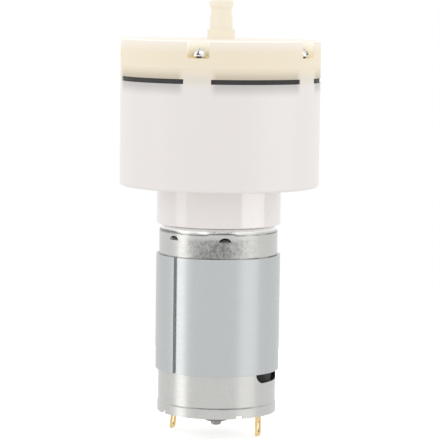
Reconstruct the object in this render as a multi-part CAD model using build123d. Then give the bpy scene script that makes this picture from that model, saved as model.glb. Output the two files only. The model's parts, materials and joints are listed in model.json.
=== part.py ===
from build123d import *
import os
from math import cos, degrees, radians, sin, tan

# Mini vacuum pump: a brushed motor with five rubber pumping chambers on top.
# +Z runs up the motor axis to the hose nozzle, and the origin is on that axis,
# half way along the motor's flux ring. Angles count from the front (-Y) towards +X.

# Motor can
CAN_DIAMETER = 35.8
CAN_WALL = 1.2
CAN_NOSE_RADIUS = 2.2
RING_THICKNESS = 0.9
RING_LENGTH = 35.0
RING_FROM_REAR = 12.9
RING_GAP = 1.3
RING_GAP_ANGLE = -42.6
RIM_PROUD = 0.2
RIM_LENGTH = 3.2
RIM_WALL = 0.75
WINDOW_WIDTH = 15.1
WINDOW_HEIGHT = 6.3
WINDOW_SIDE = 0.5
WINDOW_FROM_REAR = 10.0
LANCE_RADIUS = 1.8
LANCE_WALL = 0.8
LANCE_TO_FRONT = 4.1
LANCE_SPREAD = 54.3
CRIMP_ANGLES = (22.8, 118.0, 202.8, 298.0)
CRIMP_WIDTH = 2.2
CRIMP_DEPTH = 0.8
CRIMP_REACH = 1.4

# Motor ends and bearings
FRONT_BOSS_RADIUS = 6.5
FRONT_BOSS_HEIGHT = 3.0
END_PLATE_THICKNESS = 2.0
REAR_BOSS_RADIUS = 4.7
REAR_BOSS_HEIGHT = 3.6
REAR_BOSS_ROUND = 2.4
BEARING_LENGTH = 4.0
REAR_BEARING_RADIUS = 3.3
VENT_RADIUS = 1.8
VENT_CIRCLE = 10.5

# Shaft and armature
SHAFT_DIAMETER = 3.175
SHAFT_REAR_REACH = 4.8
SHAFT_CHAMFER = 0.35
MAGNET_LENGTH = 35.5
MAGNET_THICKNESS = 4.2
MAGNET_ARC = 120.0
MAGNET_ANGLE = -20.6
MAGNET_FROM_BRUSH = 6.0
CLIP_THICKNESS = 0.6
CLIP_LENGTH = 20.0
AIR_GAP = 0.6
POLES = 5
CORE_LENGTH = 24.0
CORE_HUB_RADIUS = 5.2
POLE_WIDTH = 4.2
POLE_TIP = 1.5
SLOT_OPENING = 1.8
INSULATOR_THICKNESS = 1.0
COIL_END = 3.2
COIL_CORNER = 2.0
COIL_GAP = 0.7
COIL_FROM_HUB = 0.9
SPACER_RADIUS = 3.0
WASHER_RADIUS = 2.6
WASHER_THICKNESS = 0.5

# Commutator, brushes and terminals
COMMUTATOR_RADIUS = 4.5
COMMUTATOR_FROM_REAR = 5.5
COMMUTATOR_LENGTH = 8.0
SEGMENT_THICKNESS = 1.1
SEGMENT_GAP = 0.4
TANG_REACH = 1.4
TANG_WIDTH = 1.6
TANG_LENGTH = 1.0
BRUSH_FROM_REAR = 9.5
BRUSH_WIDTH = 3.6
BRUSH_LENGTH = 4.2
BRUSH_HEIGHT = 4.0
BRUSH_ARM_THICKNESS = 0.3
BRUSH_ARM_BEND = 5.0
CARD_THICKNESS = 1.6
CARD_WALL = 1.2
CARD_WALL_HEIGHT = 11.0
CARD_HOLE_RADIUS = 4.0
TERMINAL_ANGLE = 66.5
TERMINAL_INSET = 2.8
TERMINAL_WIDTH = 3.6
TERMINAL_THICKNESS = 0.5
TERMINAL_REACH = 7.2
TERMINAL_HOLE_WIDTH = 1.5
TERMINAL_HOLE_LENGTH = 3.3
TERMINAL_HOLE_FROM_TIP = 2.9
TERMINAL_CORNER = 0.6
TERMINAL_BENDS = (0.0, 5.5)
TERMINAL_COLLAR_WALL = 0.9
TERMINAL_COLLAR_PROUD = 0.5

# Pump housing
HEAD_DIAMETER = 60.2
HEAD_HEIGHT = 31.5
HEAD_WALL = 2.2
HEAD_FLOOR = 2.0
HEAD_EDGE_RADIUS = 0.8
COLLAR_DIAMETER = 37.6
COLLAR_LENGTH = 11.5
COLLAR_WALL = 2.0
COLLAR_FLOOR = 3.0
CHAMBERS = 5
POST_ANGLE = -12.6
POST_RADIUS = 4.6
POST_FOOT_STEP = 1.35
POST_INSET = 2.8
EXHAUST_RADIUS = 1.5
MOTOR_SCREW_CIRCLE = 12.5
MOTOR_SCREW_LENGTH = 5.0
MOTOR_SCREW_RADIUS = 1.5
MOTOR_SCREW_HEAD_RADIUS = 2.75
MOTOR_SCREW_HEAD_HEIGHT = 2.0

# Swash drive
WOBBLE_ANGLE = 6.0
PIN_RADIUS = 1.5
PIN_ABOVE_PIVOT = 1.8
ECCENTRIC_HEIGHT = 14.0
ECCENTRIC_FLANGE_RADIUS = 10.0
ECCENTRIC_FLANGE_THICKNESS = 3.0
ECCENTRIC_WALL = 2.6
ECCENTRIC_GRIP = 6.0
ECCENTRIC_WEB = 2.0
RELIEF_WALL = 0.6
RELIEF_ANGLES = (140.0, 180.0, 220.0)
WOBBLE_HUB_RADIUS = 5.5
WOBBLE_HUB_ABOVE = 3.0
WOBBLE_HUB_BELOW = 5.0
ARM_THICKNESS = 2.6
ARM_WIDTH = 5.0
ARM_END_RADIUS = 4.0
ARM_RIB_WIDTH = 1.6
ARM_RIB_DEPTH = 2.0

# Diaphragm, its seat and the valves
CUP_TO_WALL = 3.8
CUP_SPACING = 5.0
CUP_DEPTH = 13.0
CUP_WALL = 0.9
CUP_FLOOR = 2.0
CUP_FOOT_RADIUS = 5.0
STEM_RADIUS = 1.6
STEM_BULB_RADIUS = 2.3
STEM_BULB_LENGTH = 2.4
FLANGE_THICKNESS = 1.4
FLANGE_INSET = 0.3
SEAT_THICKNESS = 4.0
DUCT_WALL = 0.6
VALVE_PLATE_THICKNESS = 2.8
VALVE_MARGIN = 0.2
VALVE_DISC = 0.6
VALVE_STEM_RADIUS = 0.7
VALVE_BEAD_RADIUS = 1.1
VALVE_BEAD_LENGTH = 0.9
PORT_WALL = 0.25
PORTS = 4
SEAL_RADIUS = 0.6
SEAL_GROOVE_DEPTH = 0.9
SEAL_WALL = 0.6

# Cover and nozzle
COVER_HEIGHT = 8.3
COVER_ROOF = 2.4
COVER_EDGE_RADIUS = 0.5
DIVIDER_WALL = 1.8
SCREW_POCKET_DEPTH = 5.0
SCREW_POCKET_WIDTH = 6.6
SCREW_POCKET_WALL = 1.5
NOZZLE_BORE_RADIUS = 2.0
NOZZLE_BASE_RADIUS = 4.15
NOZZLE_BASE_HEIGHT = 3.0
NOZZLE_BODY_RADIUS = 3.4
NOZZLE_BODY_LENGTH = 4.3
NOZZLE_NECK_RADIUS = 3.1
NOZZLE_NECK_LENGTH = 2.3
NOZZLE_LIP_RADIUS = 3.55
NOZZLE_LIP_LENGTH = 2.2
NOZZLE_LIP_CHAMFER = 0.5
COVER_SCREW_RADIUS = 1.3
COVER_SCREW_LENGTH = 16.0
COVER_SCREW_HEAD_RADIUS = 2.4
COVER_SCREW_HEAD_HEIGHT = 2.4
COVER_SCREW_NECK_RADIUS = 1.7
COVER_SCREW_NECK_HEIGHT = 0.5
SCREW_DOME_SHARE = 0.7
RECESS_LENGTH = 3.6
RECESS_WIDTH = 0.75
RECESS_DEPTH = 1.2

# Clearances
BEARING_CLEARANCE = 0.03
BRUSH_CLEARANCE = 0.05
PIN_CLEARANCE = 0.05
END_PLAY = 0.3
MAGNET_CLEARANCE = 0.05
PIN_END_GAP = 0.15
SCREW_CLEARANCE = 0.05
SEAT_CLEARANCE = 0.2
POST_CLEARANCE = 0.2
CUP_CLEARANCE = 0.5
STEM_CLEARANCE = 0.1
PLATE_CLEARANCE = 0.05
HEAD_CLEARANCE = 1.0
VALVE_CLEARANCE = 0.05
GROOVE_CLEARANCE = 0.2

# Radii that follow from the sizes above
CAN_RADIUS = CAN_DIAMETER / 2
CAN_BORE = CAN_RADIUS - CAN_WALL
RIM_RADIUS = CAN_RADIUS + RIM_PROUD
RIM_BORE = RIM_RADIUS - RIM_WALL
END_PLATE_RADIUS = RIM_BORE - PLATE_CLEARANCE
FRONT_BEARING_RADIUS = FRONT_BOSS_RADIUS - CAN_WALL
SHAFT_RADIUS = SHAFT_DIAMETER / 2
BEARING_BORE = SHAFT_RADIUS + BEARING_CLEARANCE
MAGNET_RADIUS = CAN_BORE - MAGNET_CLEARANCE
MAGNET_BORE = MAGNET_RADIUS - MAGNET_THICKNESS
TERMINAL_CIRCLE = CAN_BORE - TERMINAL_INSET
CORE_RADIUS = MAGNET_BORE - AIR_GAP
SEGMENT_BORE = COMMUTATOR_RADIUS - SEGMENT_THICKNESS
HEAD_RADIUS = HEAD_DIAMETER / 2
HEAD_BORE = HEAD_RADIUS - HEAD_WALL
COLLAR_RADIUS = COLLAR_DIAMETER / 2
POST_CIRCLE = HEAD_RADIUS - POST_INSET
EXHAUST_CIRCLE = (COLLAR_RADIUS + HEAD_BORE) / 2
SEAT_RADIUS = HEAD_BORE - SEAT_CLEARANCE
CUP_REACH = HEAD_BORE - CUP_TO_WALL
CUP_CIRCLE = (CUP_REACH + CUP_SPACING / 2) / (1 + sin(radians(180 / CHAMBERS)))
CUP_RADIUS = CUP_REACH - CUP_CIRCLE
CUP_MOUTH = CUP_RADIUS - CUP_WALL
GROOVE_HALF = SEAL_RADIUS + GROOVE_CLEARANCE
INNER_SEAL_CIRCLE = CUP_CIRCLE
OUTER_GROOVE_EDGE = POST_CIRCLE - COVER_SCREW_RADIUS - SCREW_CLEARANCE - SEAL_WALL
OUTER_SEAL_CIRCLE = OUTER_GROOVE_EDGE - GROOVE_HALF
VALVE_RADIUS = (CUP_MOUTH - GROOVE_HALF) / 2 - VALVE_MARGIN
VALVE_OFFSET = (CUP_MOUTH + GROOVE_HALF) / 2
PORT_RADIUS = (VALVE_RADIUS - VALVE_STEM_RADIUS - VALVE_CLEARANCE) / 2 - PORT_WALL
PORT_CIRCLE = VALVE_RADIUS - PORT_WALL - PORT_RADIUS
DUCT_INNER = INNER_SEAL_CIRCLE + GROOVE_HALF + DUCT_WALL
DUCT_OUTER = POST_CIRCLE - POST_RADIUS - POST_CLEARANCE - DUCT_WALL
DUCT_CIRCLE = (DUCT_INNER + DUCT_OUTER) / 2
DUCT_RADIUS = (DUCT_OUTER - DUCT_INNER) / 2

# Heights that follow from the sizes above
CAN_REAR_Z = -(RING_FROM_REAR + RING_LENGTH / 2)
RIM_TOP_Z = CAN_REAR_Z + RIM_LENGTH
END_PLATE_Z = RIM_TOP_Z - END_PLATE_THICKNESS
REAR_BOSS_Z = CAN_REAR_Z - REAR_BOSS_HEIGHT
REAR_BEARING_Z = REAR_BOSS_Z + CAN_WALL
BRUSH_Z = CAN_REAR_Z + BRUSH_FROM_REAR
MAGNET_Z = BRUSH_Z + BRUSH_HEIGHT / 2 + MAGNET_FROM_BRUSH
LANCE_Z = MAGNET_Z + MAGNET_LENGTH
CAN_FRONT_Z = LANCE_Z + LANCE_TO_FRONT
FRONT_BOSS_Z = CAN_FRONT_Z + FRONT_BOSS_HEIGHT
FRONT_BEARING_Z = FRONT_BOSS_Z - CAN_WALL - BEARING_LENGTH
CORE_Z = MAGNET_Z + (MAGNET_LENGTH - CORE_LENGTH) / 2
CORE_TOP_Z = CORE_Z + CORE_LENGTH
REAR_WASHER_Z = REAR_BEARING_Z + BEARING_LENGTH + END_PLAY
FRONT_WASHER_Z = FRONT_BEARING_Z - END_PLAY - WASHER_THICKNESS
COMMUTATOR_Z = CAN_REAR_Z + COMMUTATOR_FROM_REAR
CARD_TOP_Z = RIM_TOP_Z + CARD_THICKNESS
COLLAR_FLOOR_Z = CAN_FRONT_Z + COLLAR_FLOOR
HEAD_BOTTOM_Z = CAN_FRONT_Z + COLLAR_LENGTH
HEAD_TOP_Z = HEAD_BOTTOM_Z + HEAD_HEIGHT
SEAT_Z = HEAD_TOP_Z - SEAT_THICKNESS
FLANGE_TOP_Z = HEAD_TOP_Z + FLANGE_THICKNESS
PLATE_TOP_Z = FLANGE_TOP_Z + VALVE_PLATE_THICKNESS
COVER_TOP_Z = PLATE_TOP_Z + COVER_HEIGHT
POCKET_FLOOR_Z = COVER_TOP_Z - SCREW_POCKET_DEPTH
NOZZLE_BASE_Z = COVER_TOP_Z + NOZZLE_BASE_HEIGHT
NOZZLE_BODY_Z = NOZZLE_BASE_Z + NOZZLE_BODY_LENGTH
NOZZLE_NECK_Z = NOZZLE_BODY_Z + NOZZLE_NECK_LENGTH
NOZZLE_TOP_Z = NOZZLE_NECK_Z + NOZZLE_LIP_LENGTH
SEAL_Z = PLATE_TOP_Z - SEAL_GROOVE_DEPTH + SEAL_RADIUS
SEAL_TOP_Z = SEAL_Z + SEAL_RADIUS
ECCENTRIC_Z = COLLAR_FLOOR_Z + MOTOR_SCREW_HEAD_HEIGHT + HEAD_CLEARANCE
SHAFT_TIP_Z = ECCENTRIC_Z + ECCENTRIC_GRIP
PIN_SOCKET_Z = SHAFT_TIP_Z + ECCENTRIC_WEB
ECCENTRIC_TOP_Z = ECCENTRIC_Z + ECCENTRIC_HEIGHT
PIVOT_Z = HEAD_TOP_Z - CUP_DEPTH

# The drive pin leans over at the wobble angle and crosses the motor axis at the pivot.
# Lengths along it count from the pivot.
WOBBLE_FRAME = Pos(0, 0, PIVOT_Z) * Rot(WOBBLE_ANGLE, 0, 0)
PIN_SOCKET_REACH = (PIVOT_Z - PIN_SOCKET_Z) / cos(radians(WOBBLE_ANGLE))
ECCENTRIC_FACE_REACH = (PIVOT_Z - ECCENTRIC_TOP_Z) / cos(radians(WOBBLE_ANGLE))
PIN_OFFSET = (PIVOT_Z - PIN_SOCKET_Z) * tan(radians(WOBBLE_ANGLE))
ECCENTRIC_HUB_RADIUS = PIN_OFFSET + PIN_RADIUS + ECCENTRIC_WALL

POST_ANGLES = [POST_ANGLE + 360 / CHAMBERS * i for i in range(CHAMBERS)]
CUP_ANGLES = [angle + 180 / CHAMBERS for angle in POST_ANGLES]
POLE_ANGLES = [360 / POLES * i for i in range(POLES)]
TERMINAL_ANGLES = (TERMINAL_ANGLE, TERMINAL_ANGLE + 180)
MAGNET_ANGLES = (MAGNET_ANGLE, MAGNET_ANGLE + 180)
LANCE_ANGLES = [angle + side * LANCE_SPREAD / 2 for angle in MAGNET_ANGLES for side in (-1, 1)]

UPRIGHT = (Align.CENTER, Align.CENTER, Align.MIN)
ON_AXIS = (Align.NONE, Align.NONE, Align.MIN)
OUTWARD = (Align.CENTER, Align.MAX, Align.MIN)


def disc(radius, bottom, top):
    """Round block on the axis between two heights."""
    return Pos(0, 0, bottom) * Cylinder(radius, top - bottom, align=UPRIGHT)


def tube(outer, inner, bottom, top):
    """Round block on the axis with a hole through it."""
    return disc(outer, bottom, top) - disc(inner, bottom, top)


def arc_tube(outer, inner, bottom, top, arc):
    """Piece of a tube that spans an arc in degrees, centred on the front."""
    height = top - bottom
    wedge = Cylinder(outer, height, arc_size=arc, align=ON_AXIS)
    wedge -= Cylinder(inner, height, arc_size=arc, align=ON_AXIS)
    return Pos(0, 0, bottom) * Rot(0, 0, -90 - arc / 2) * wedge


def column(circle, radius, bottom, top):
    """Round block that stands at the front of a circle about the axis."""
    return Pos(0, -circle, 0) * disc(radius, bottom, top)


def around(shape, angles):
    """One copy of a front-facing shape at each angle."""
    return [Rot(0, 0, angle) * shape for angle in angles]


def group(solids):
    """Separate like pieces kept together under one name."""
    return Compound(children=list(solids))


def radial_block(outline, inner, outer):
    """Outline drawn in X and Z, run outwards towards the front between two radii."""
    return extrude(Plane.XZ.offset(inner) * outline, outer - inner)


def top_edge(shape):
    """Highest edge of a shape."""
    return shape.edges().sort_by(Axis.Z)[-1]


def bottom_edge(shape):
    """Lowest edge of a shape."""
    return shape.edges().sort_by(Axis.Z)[0]


def motor_can():
    """Drawn can: front boss, rear rim, brush windows, magnet stops and crimps."""
    body = disc(CAN_RADIUS, CAN_REAR_Z, CAN_FRONT_Z)
    body = fillet(top_edge(body), CAN_NOSE_RADIUS)
    body += disc(FRONT_BOSS_RADIUS, CAN_FRONT_Z - CAN_WALL, FRONT_BOSS_Z)
    body += disc(RIM_RADIUS, CAN_REAR_Z, RIM_TOP_Z)
    bore = disc(CAN_BORE, CAN_REAR_Z, CAN_FRONT_Z - CAN_WALL)
    bore = fillet(top_edge(bore), CAN_NOSE_RADIUS - CAN_WALL)
    body -= bore
    body -= disc(FRONT_BEARING_RADIUS, CAN_FRONT_Z - CAN_WALL, FRONT_BOSS_Z - CAN_WALL)
    body -= disc(BEARING_BORE + CAN_WALL / 2, CAN_FRONT_Z, FRONT_BOSS_Z)
    body -= disc(RIM_BORE, CAN_REAR_Z, RIM_TOP_Z)
    window_middle = CAN_REAR_Z + WINDOW_FROM_REAR + WINDOW_HEIGHT / 2
    corner = (WINDOW_HEIGHT - WINDOW_SIDE) / 2
    window = Pos(0, window_middle) * RectangleRounded(WINDOW_WIDTH, WINDOW_HEIGHT, corner)
    body -= around(radial_block(window, CAN_BORE / 2, RIM_RADIUS), TERMINAL_ANGLES)
    stop = lance_ball(LANCE_RADIUS + LANCE_WALL) & disc(CAN_RADIUS, CAN_REAR_Z, CAN_FRONT_Z)
    body += around(stop, LANCE_ANGLES)
    body -= around(lance_ball(LANCE_RADIUS), LANCE_ANGLES)
    screw_hole = column(
        MOTOR_SCREW_CIRCLE,
        MOTOR_SCREW_RADIUS + SCREW_CLEARANCE,
        CAN_FRONT_Z - CAN_WALL,
        CAN_FRONT_Z,
    )
    body -= around(screw_hole, TERMINAL_ANGLES)
    notch = Pos(0, 0, CAN_REAR_Z) * Box(CRIMP_WIDTH, CAN_DIAMETER, CRIMP_DEPTH, align=OUTWARD)
    notch -= disc(RIM_BORE, CAN_REAR_Z, RIM_TOP_Z)
    body -= around(notch, CRIMP_ANGLES)
    return body + around(crimp_tab(), CRIMP_ANGLES)


def lance_ball(radius):
    """Upper half of a ball on the can's face where a magnet stop is pushed in, its seam inside."""
    return Pos(0, -CAN_RADIUS, LANCE_Z) * Rot(0, 0, 90) * Sphere(radius, 0, 90, align=ON_AXIS)


def crimp_tab():
    """Tongue of the rim that is folded over the end plate."""
    tab_height = (END_PLATE_Z - CAN_REAR_Z) / 2
    reach = RIM_BORE + RIM_WALL / 2
    tab = Pos(0, 0, END_PLATE_Z - tab_height) * Box(CRIMP_WIDTH, reach, tab_height, align=OUTWARD)
    return tab - disc(RIM_BORE - CRIMP_REACH, CAN_REAR_Z, RIM_TOP_Z)


def flux_ring():
    """Rolled steel ring round the can, open along one seam."""
    ring = tube(CAN_RADIUS + RING_THICKNESS, CAN_RADIUS, -RING_LENGTH / 2, RING_LENGTH / 2)
    seam = Pos(0, 0, -RING_LENGTH / 2) * Box(RING_GAP, CAN_DIAMETER, RING_LENGTH, align=OUTWARD)
    ring -= Rot(0, 0, RING_GAP_ANGLE) * seam
    rims = ring.edges().filter_by(GeomType.CIRCLE).group_by(SortBy.RADIUS)[-1]
    return chamfer(rims, RING_THICKNESS / 4)


def magnet(angle):
    """One curved field magnet, its front end against two stops of the can."""
    return Rot(0, 0, angle) * arc_tube(MAGNET_RADIUS, MAGNET_BORE, MAGNET_Z, LANCE_Z, MAGNET_ARC)


def magnet_clip(angle):
    """Sheet steel clip that spreads two neighbouring magnets apart."""
    gap = 180 - MAGNET_ARC
    bottom = MAGNET_Z + (MAGNET_LENGTH - CLIP_LENGTH) / 2
    top = bottom + CLIP_LENGTH
    clip = arc_tube(CAN_BORE, CAN_BORE - CLIP_THICKNESS, bottom, top, gap)
    leg_arc = degrees_of(CLIP_THICKNESS, CAN_BORE)
    leg = arc_tube(CAN_BORE, (MAGNET_BORE + CAN_BORE) / 2, bottom, top, leg_arc)
    swing = (gap - leg_arc) / 2
    clip += around(leg, (-swing, swing))
    return Rot(0, 0, angle + 90) * clip


def degrees_of(width, radius):
    """Angle that a short width takes up on a circle."""
    return degrees(width / radius)


def end_plate():
    """Pressed steel plate with the rear bearing's boss and the terminal openings."""
    boss = disc(REAR_BOSS_RADIUS, REAR_BOSS_Z, END_PLATE_Z + END_PLATE_THICKNESS / 2)
    boss = fillet(bottom_edge(boss), REAR_BOSS_ROUND)
    plate = disc(END_PLATE_RADIUS, END_PLATE_Z, RIM_TOP_Z) + boss
    plate -= disc(REAR_BEARING_RADIUS, REAR_BEARING_Z, RIM_TOP_Z)
    plate -= disc(BEARING_BORE + CAN_WALL / 2, REAR_BOSS_Z, REAR_BEARING_Z)
    plate -= around(terminal_block(TERMINAL_COLLAR_WALL + PLATE_CLEARANCE), TERMINAL_ANGLES)
    vent = column(VENT_CIRCLE, VENT_RADIUS, END_PLATE_Z, RIM_TOP_Z)
    return plate - around(vent, [angle + 90 for angle in TERMINAL_ANGLES])


def terminal_block(margin):
    """Upright block round a terminal, from below the end plate to the card's top."""
    bottom = END_PLATE_Z - TERMINAL_COLLAR_PROUD
    width = TERMINAL_WIDTH + 2 * margin
    depth = TERMINAL_THICKNESS + 2 * margin
    return Pos(0, -TERMINAL_CIRCLE, bottom) * Box(width, depth, CARD_TOP_Z - bottom, align=UPRIGHT)


def brush_card():
    """Moulded card on the end plate that carries the terminals and insulates them."""
    card_radius = CAN_BORE - PLATE_CLEARANCE
    card = disc(card_radius, RIM_TOP_Z, CARD_TOP_Z)
    card += tube(card_radius, card_radius - CARD_WALL, RIM_TOP_Z, CARD_TOP_Z + CARD_WALL_HEIGHT)
    card += around(terminal_block(TERMINAL_COLLAR_WALL), TERMINAL_ANGLES)
    card -= disc(CARD_HOLE_RADIUS, RIM_TOP_Z, CARD_TOP_Z)
    vent = column(VENT_CIRCLE, VENT_RADIUS, RIM_TOP_Z, CARD_TOP_Z)
    card -= around(vent, [angle + 90 for angle in TERMINAL_ANGLES])
    return card - around(terminal_block(PLATE_CLEARANCE), TERMINAL_ANGLES)


def terminal(angle, bend):
    """Brass blade through the end plate, its free end leaning out by a bend in degrees."""
    fold_z = END_PLATE_Z - TERMINAL_COLLAR_PROUD
    reach = TERMINAL_REACH - (CAN_REAR_Z - fold_z)
    top_z = BRUSH_Z + BRUSH_HEIGHT / 2
    upper = Pos(0, 0, fold_z) * Box(TERMINAL_WIDTH, TERMINAL_THICKNESS, top_z - fold_z, align=UPRIGHT)
    outline = Rectangle(TERMINAL_WIDTH, reach, align=(Align.CENTER, Align.MAX))
    outline = chamfer(outline.vertices().group_by(Axis.Y)[0], TERMINAL_CORNER)
    slot = SlotOverall(TERMINAL_HOLE_LENGTH, TERMINAL_HOLE_WIDTH, rotation=90)
    outline -= Pos(0, TERMINAL_HOLE_FROM_TIP - reach) * slot
    blade = extrude(Plane.XZ.offset(-TERMINAL_THICKNESS / 2) * outline, TERMINAL_THICKNESS)
    knee = Rot(0, 90, 0) * Cylinder(TERMINAL_THICKNESS / 2, TERMINAL_WIDTH)
    blade = Pos(0, 0, fold_z) * (Rot(-bend, 0, 0) * blade + knee)
    return Rot(0, 0, angle) * Pos(0, -TERMINAL_CIRCLE, 0) * (upper + blade)


def brush_arm(angle):
    """Leaf spring from a terminal round to the back of its brush."""
    inner_face = TERMINAL_CIRCLE - TERMINAL_THICKNESS / 2 - BRUSH_ARM_THICKNESS / 2
    back = COMMUTATOR_RADIUS + BRUSH_CLEARANCE + BRUSH_LENGTH + BRUSH_ARM_THICKNESS / 2
    start = (-TERMINAL_WIDTH / 2, -inner_face)
    corner = (back, -inner_face)
    end = (back, BRUSH_WIDTH / 2)
    line = FilletPolyline(start, corner, end, radius=BRUSH_ARM_BEND)
    strip = trace(line, BRUSH_ARM_THICKNESS)
    bottom = BRUSH_Z - BRUSH_HEIGHT / 2
    return Rot(0, 0, angle) * Pos(0, 0, bottom) * extrude(strip, BRUSH_HEIGHT)


def brush(angle):
    """Carbon brush with its face hollowed to run on the commutator."""
    face = COMMUTATOR_RADIUS + BRUSH_CLEARANCE
    bottom = BRUSH_Z - BRUSH_HEIGHT / 2
    block = Pos(0, 0, bottom) * Box(BRUSH_WIDTH, face + BRUSH_LENGTH, BRUSH_HEIGHT, align=OUTWARD)
    return Rot(0, 0, angle + 90) * (block - disc(face, bottom, bottom + BRUSH_HEIGHT))


def rear_bearing():
    """Sintered bush in the end plate's boss."""
    return tube(REAR_BEARING_RADIUS, BEARING_BORE, REAR_BEARING_Z, REAR_BEARING_Z + BEARING_LENGTH)


def front_bearing():
    """Sintered bush in the can's front boss."""
    return tube(FRONT_BEARING_RADIUS, BEARING_BORE, FRONT_BEARING_Z, FRONT_BEARING_Z + BEARING_LENGTH)


def motor_shaft():
    """Ground steel shaft from the rear tip up into the eccentric."""
    shaft = disc(SHAFT_RADIUS, CAN_REAR_Z - SHAFT_REAR_REACH, SHAFT_TIP_Z)
    ends = [bottom_edge(shaft), top_edge(shaft)]
    return chamfer(ends, SHAFT_CHAMFER)


def lamination(edge):
    """Outline of the five-pole core, drawn in by an edge."""
    rim = CORE_RADIUS - edge
    pole = Rectangle(POLE_WIDTH - 2 * edge, rim - POLE_TIP / 2, align=(Align.CENTER, Align.MAX))
    slot = Pos(0, -CORE_RADIUS) * Rectangle(SLOT_OPENING + 2 * edge, 4 * POLE_TIP)
    tips = Circle(rim) - Circle(CORE_RADIUS - POLE_TIP)
    tips -= around(slot, [angle + 180 / POLES for angle in POLE_ANGLES])
    hub = Circle(CORE_HUB_RADIUS - edge)
    return hub + around(pole, POLE_ANGLES) + tips - Circle(SHAFT_RADIUS)


def armature_core():
    """Stack of laminations pressed on the shaft."""
    return Pos(0, 0, CORE_Z) * extrude(lamination(0), CORE_LENGTH)


def core_insulator(bottom):
    """Thin moulded cheek that keeps the wire off one end of the core."""
    return Pos(0, 0, bottom) * extrude(lamination(PLATE_CLEARANCE), INSULATOR_THICKNESS)


def winding():
    """Coil round the front pole, wider outwards so that it fills its slots."""
    inner = CORE_HUB_RADIUS + COIL_FROM_HUB
    outer = CORE_RADIUS - POLE_TIP - PLATE_CLEARANCE
    window = CORE_LENGTH + 2 * INSULATOR_THICKNESS
    height = window + 2 * COIL_END
    middle = CORE_Z + CORE_LENGTH / 2
    ends = []
    for radius in (inner, outer):
        width = 2 * radius * tan(radians(180 / POLES)) - COIL_GAP
        outline = Pos(0, middle) * RectangleRounded(width, height, COIL_CORNER)
        ends.append(Plane.XZ.offset(radius) * outline)
    coil = loft(ends)
    coil -= radial_block(Pos(0, middle) * Rectangle(POLE_WIDTH, window), 0, CORE_RADIUS)
    return coil & disc(outer, middle - height, middle + height)


def commutator_hub():
    """Moulded sleeve that carries the copper segments."""
    hub = disc(SEGMENT_BORE, COMMUTATOR_Z, COMMUTATOR_Z + COMMUTATOR_LENGTH + TANG_LENGTH)
    hub += disc(WASHER_RADIUS, REAR_WASHER_Z + WASHER_THICKNESS, COMMUTATOR_Z)
    return hub - disc(SHAFT_RADIUS, REAR_WASHER_Z, CORE_Z)


def commutator_segment(angle):
    """Copper bar with the tang that holds a coil's wire."""
    top = COMMUTATOR_Z + COMMUTATOR_LENGTH
    arc = 360 / POLES - degrees_of(SEGMENT_GAP, COMMUTATOR_RADIUS)
    bar = arc_tube(COMMUTATOR_RADIUS, SEGMENT_BORE, COMMUTATOR_Z, top, arc)
    reach = COMMUTATOR_RADIUS + TANG_REACH
    tang = Pos(0, 0, top - TANG_LENGTH) * Box(TANG_WIDTH, reach, TANG_LENGTH, align=OUTWARD)
    return Rot(0, 0, angle) * (bar + (tang - disc(SEGMENT_BORE, COMMUTATOR_Z, top)))


def thrust_washer(bottom):
    """Fibre washer between the rotor and a bearing."""
    return tube(WASHER_RADIUS, SHAFT_RADIUS, bottom, bottom + WASHER_THICKNESS)


def shaft_spacer():
    """Sleeve from the core to the front thrust washer."""
    return tube(SPACER_RADIUS, SHAFT_RADIUS, CORE_TOP_Z + INSULATOR_THICKNESS, FRONT_WASHER_Z)


def pan_screw(shank_radius, shank_length, head_radius, head_height):
    """Cross-recessed pan head screw, its head's seat at height zero."""
    head = disc(head_radius, 0, head_height)
    head = fillet(top_edge(head), head_height * SCREW_DOME_SHARE)
    slot = Box(RECESS_LENGTH, RECESS_WIDTH, RECESS_DEPTH, align=UPRIGHT)
    head -= around(Pos(0, 0, head_height - RECESS_DEPTH) * slot, (0, 90))
    shank = disc(shank_radius, -shank_length, 0)
    return head + chamfer(bottom_edge(shank), shank_radius / 3)


def motor_screw(angle):
    """Screw through the housing floor into the can's front."""
    screw = pan_screw(
        MOTOR_SCREW_RADIUS,
        MOTOR_SCREW_LENGTH,
        MOTOR_SCREW_HEAD_RADIUS,
        MOTOR_SCREW_HEAD_HEIGHT,
    )
    return Rot(0, 0, angle) * Pos(0, -MOTOR_SCREW_CIRCLE, COLLAR_FLOOR_Z) * screw


def cover_screw(angle):
    """Screw through the cover and valve plate into a post of the housing."""
    screw = pan_screw(
        COVER_SCREW_RADIUS,
        COVER_SCREW_LENGTH,
        COVER_SCREW_HEAD_RADIUS,
        COVER_SCREW_HEAD_HEIGHT,
    )
    screw += disc(COVER_SCREW_NECK_RADIUS, -COVER_SCREW_NECK_HEIGHT, 0)
    head_z = POCKET_FLOOR_Z + COVER_SCREW_NECK_HEIGHT
    return Rot(0, 0, angle) * Pos(0, -POST_CIRCLE, head_z) * screw


def post(radius, bottom, top, reach):
    """Upright that reaches out from the screw circle to a radius."""
    upright = column(POST_CIRCLE, radius, bottom, top)
    web = Pos(0, -POST_CIRCLE, bottom) * Box(2 * radius, POST_CIRCLE, top - bottom, align=OUTWARD)
    return (upright + web) & disc(reach, bottom, top)


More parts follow.
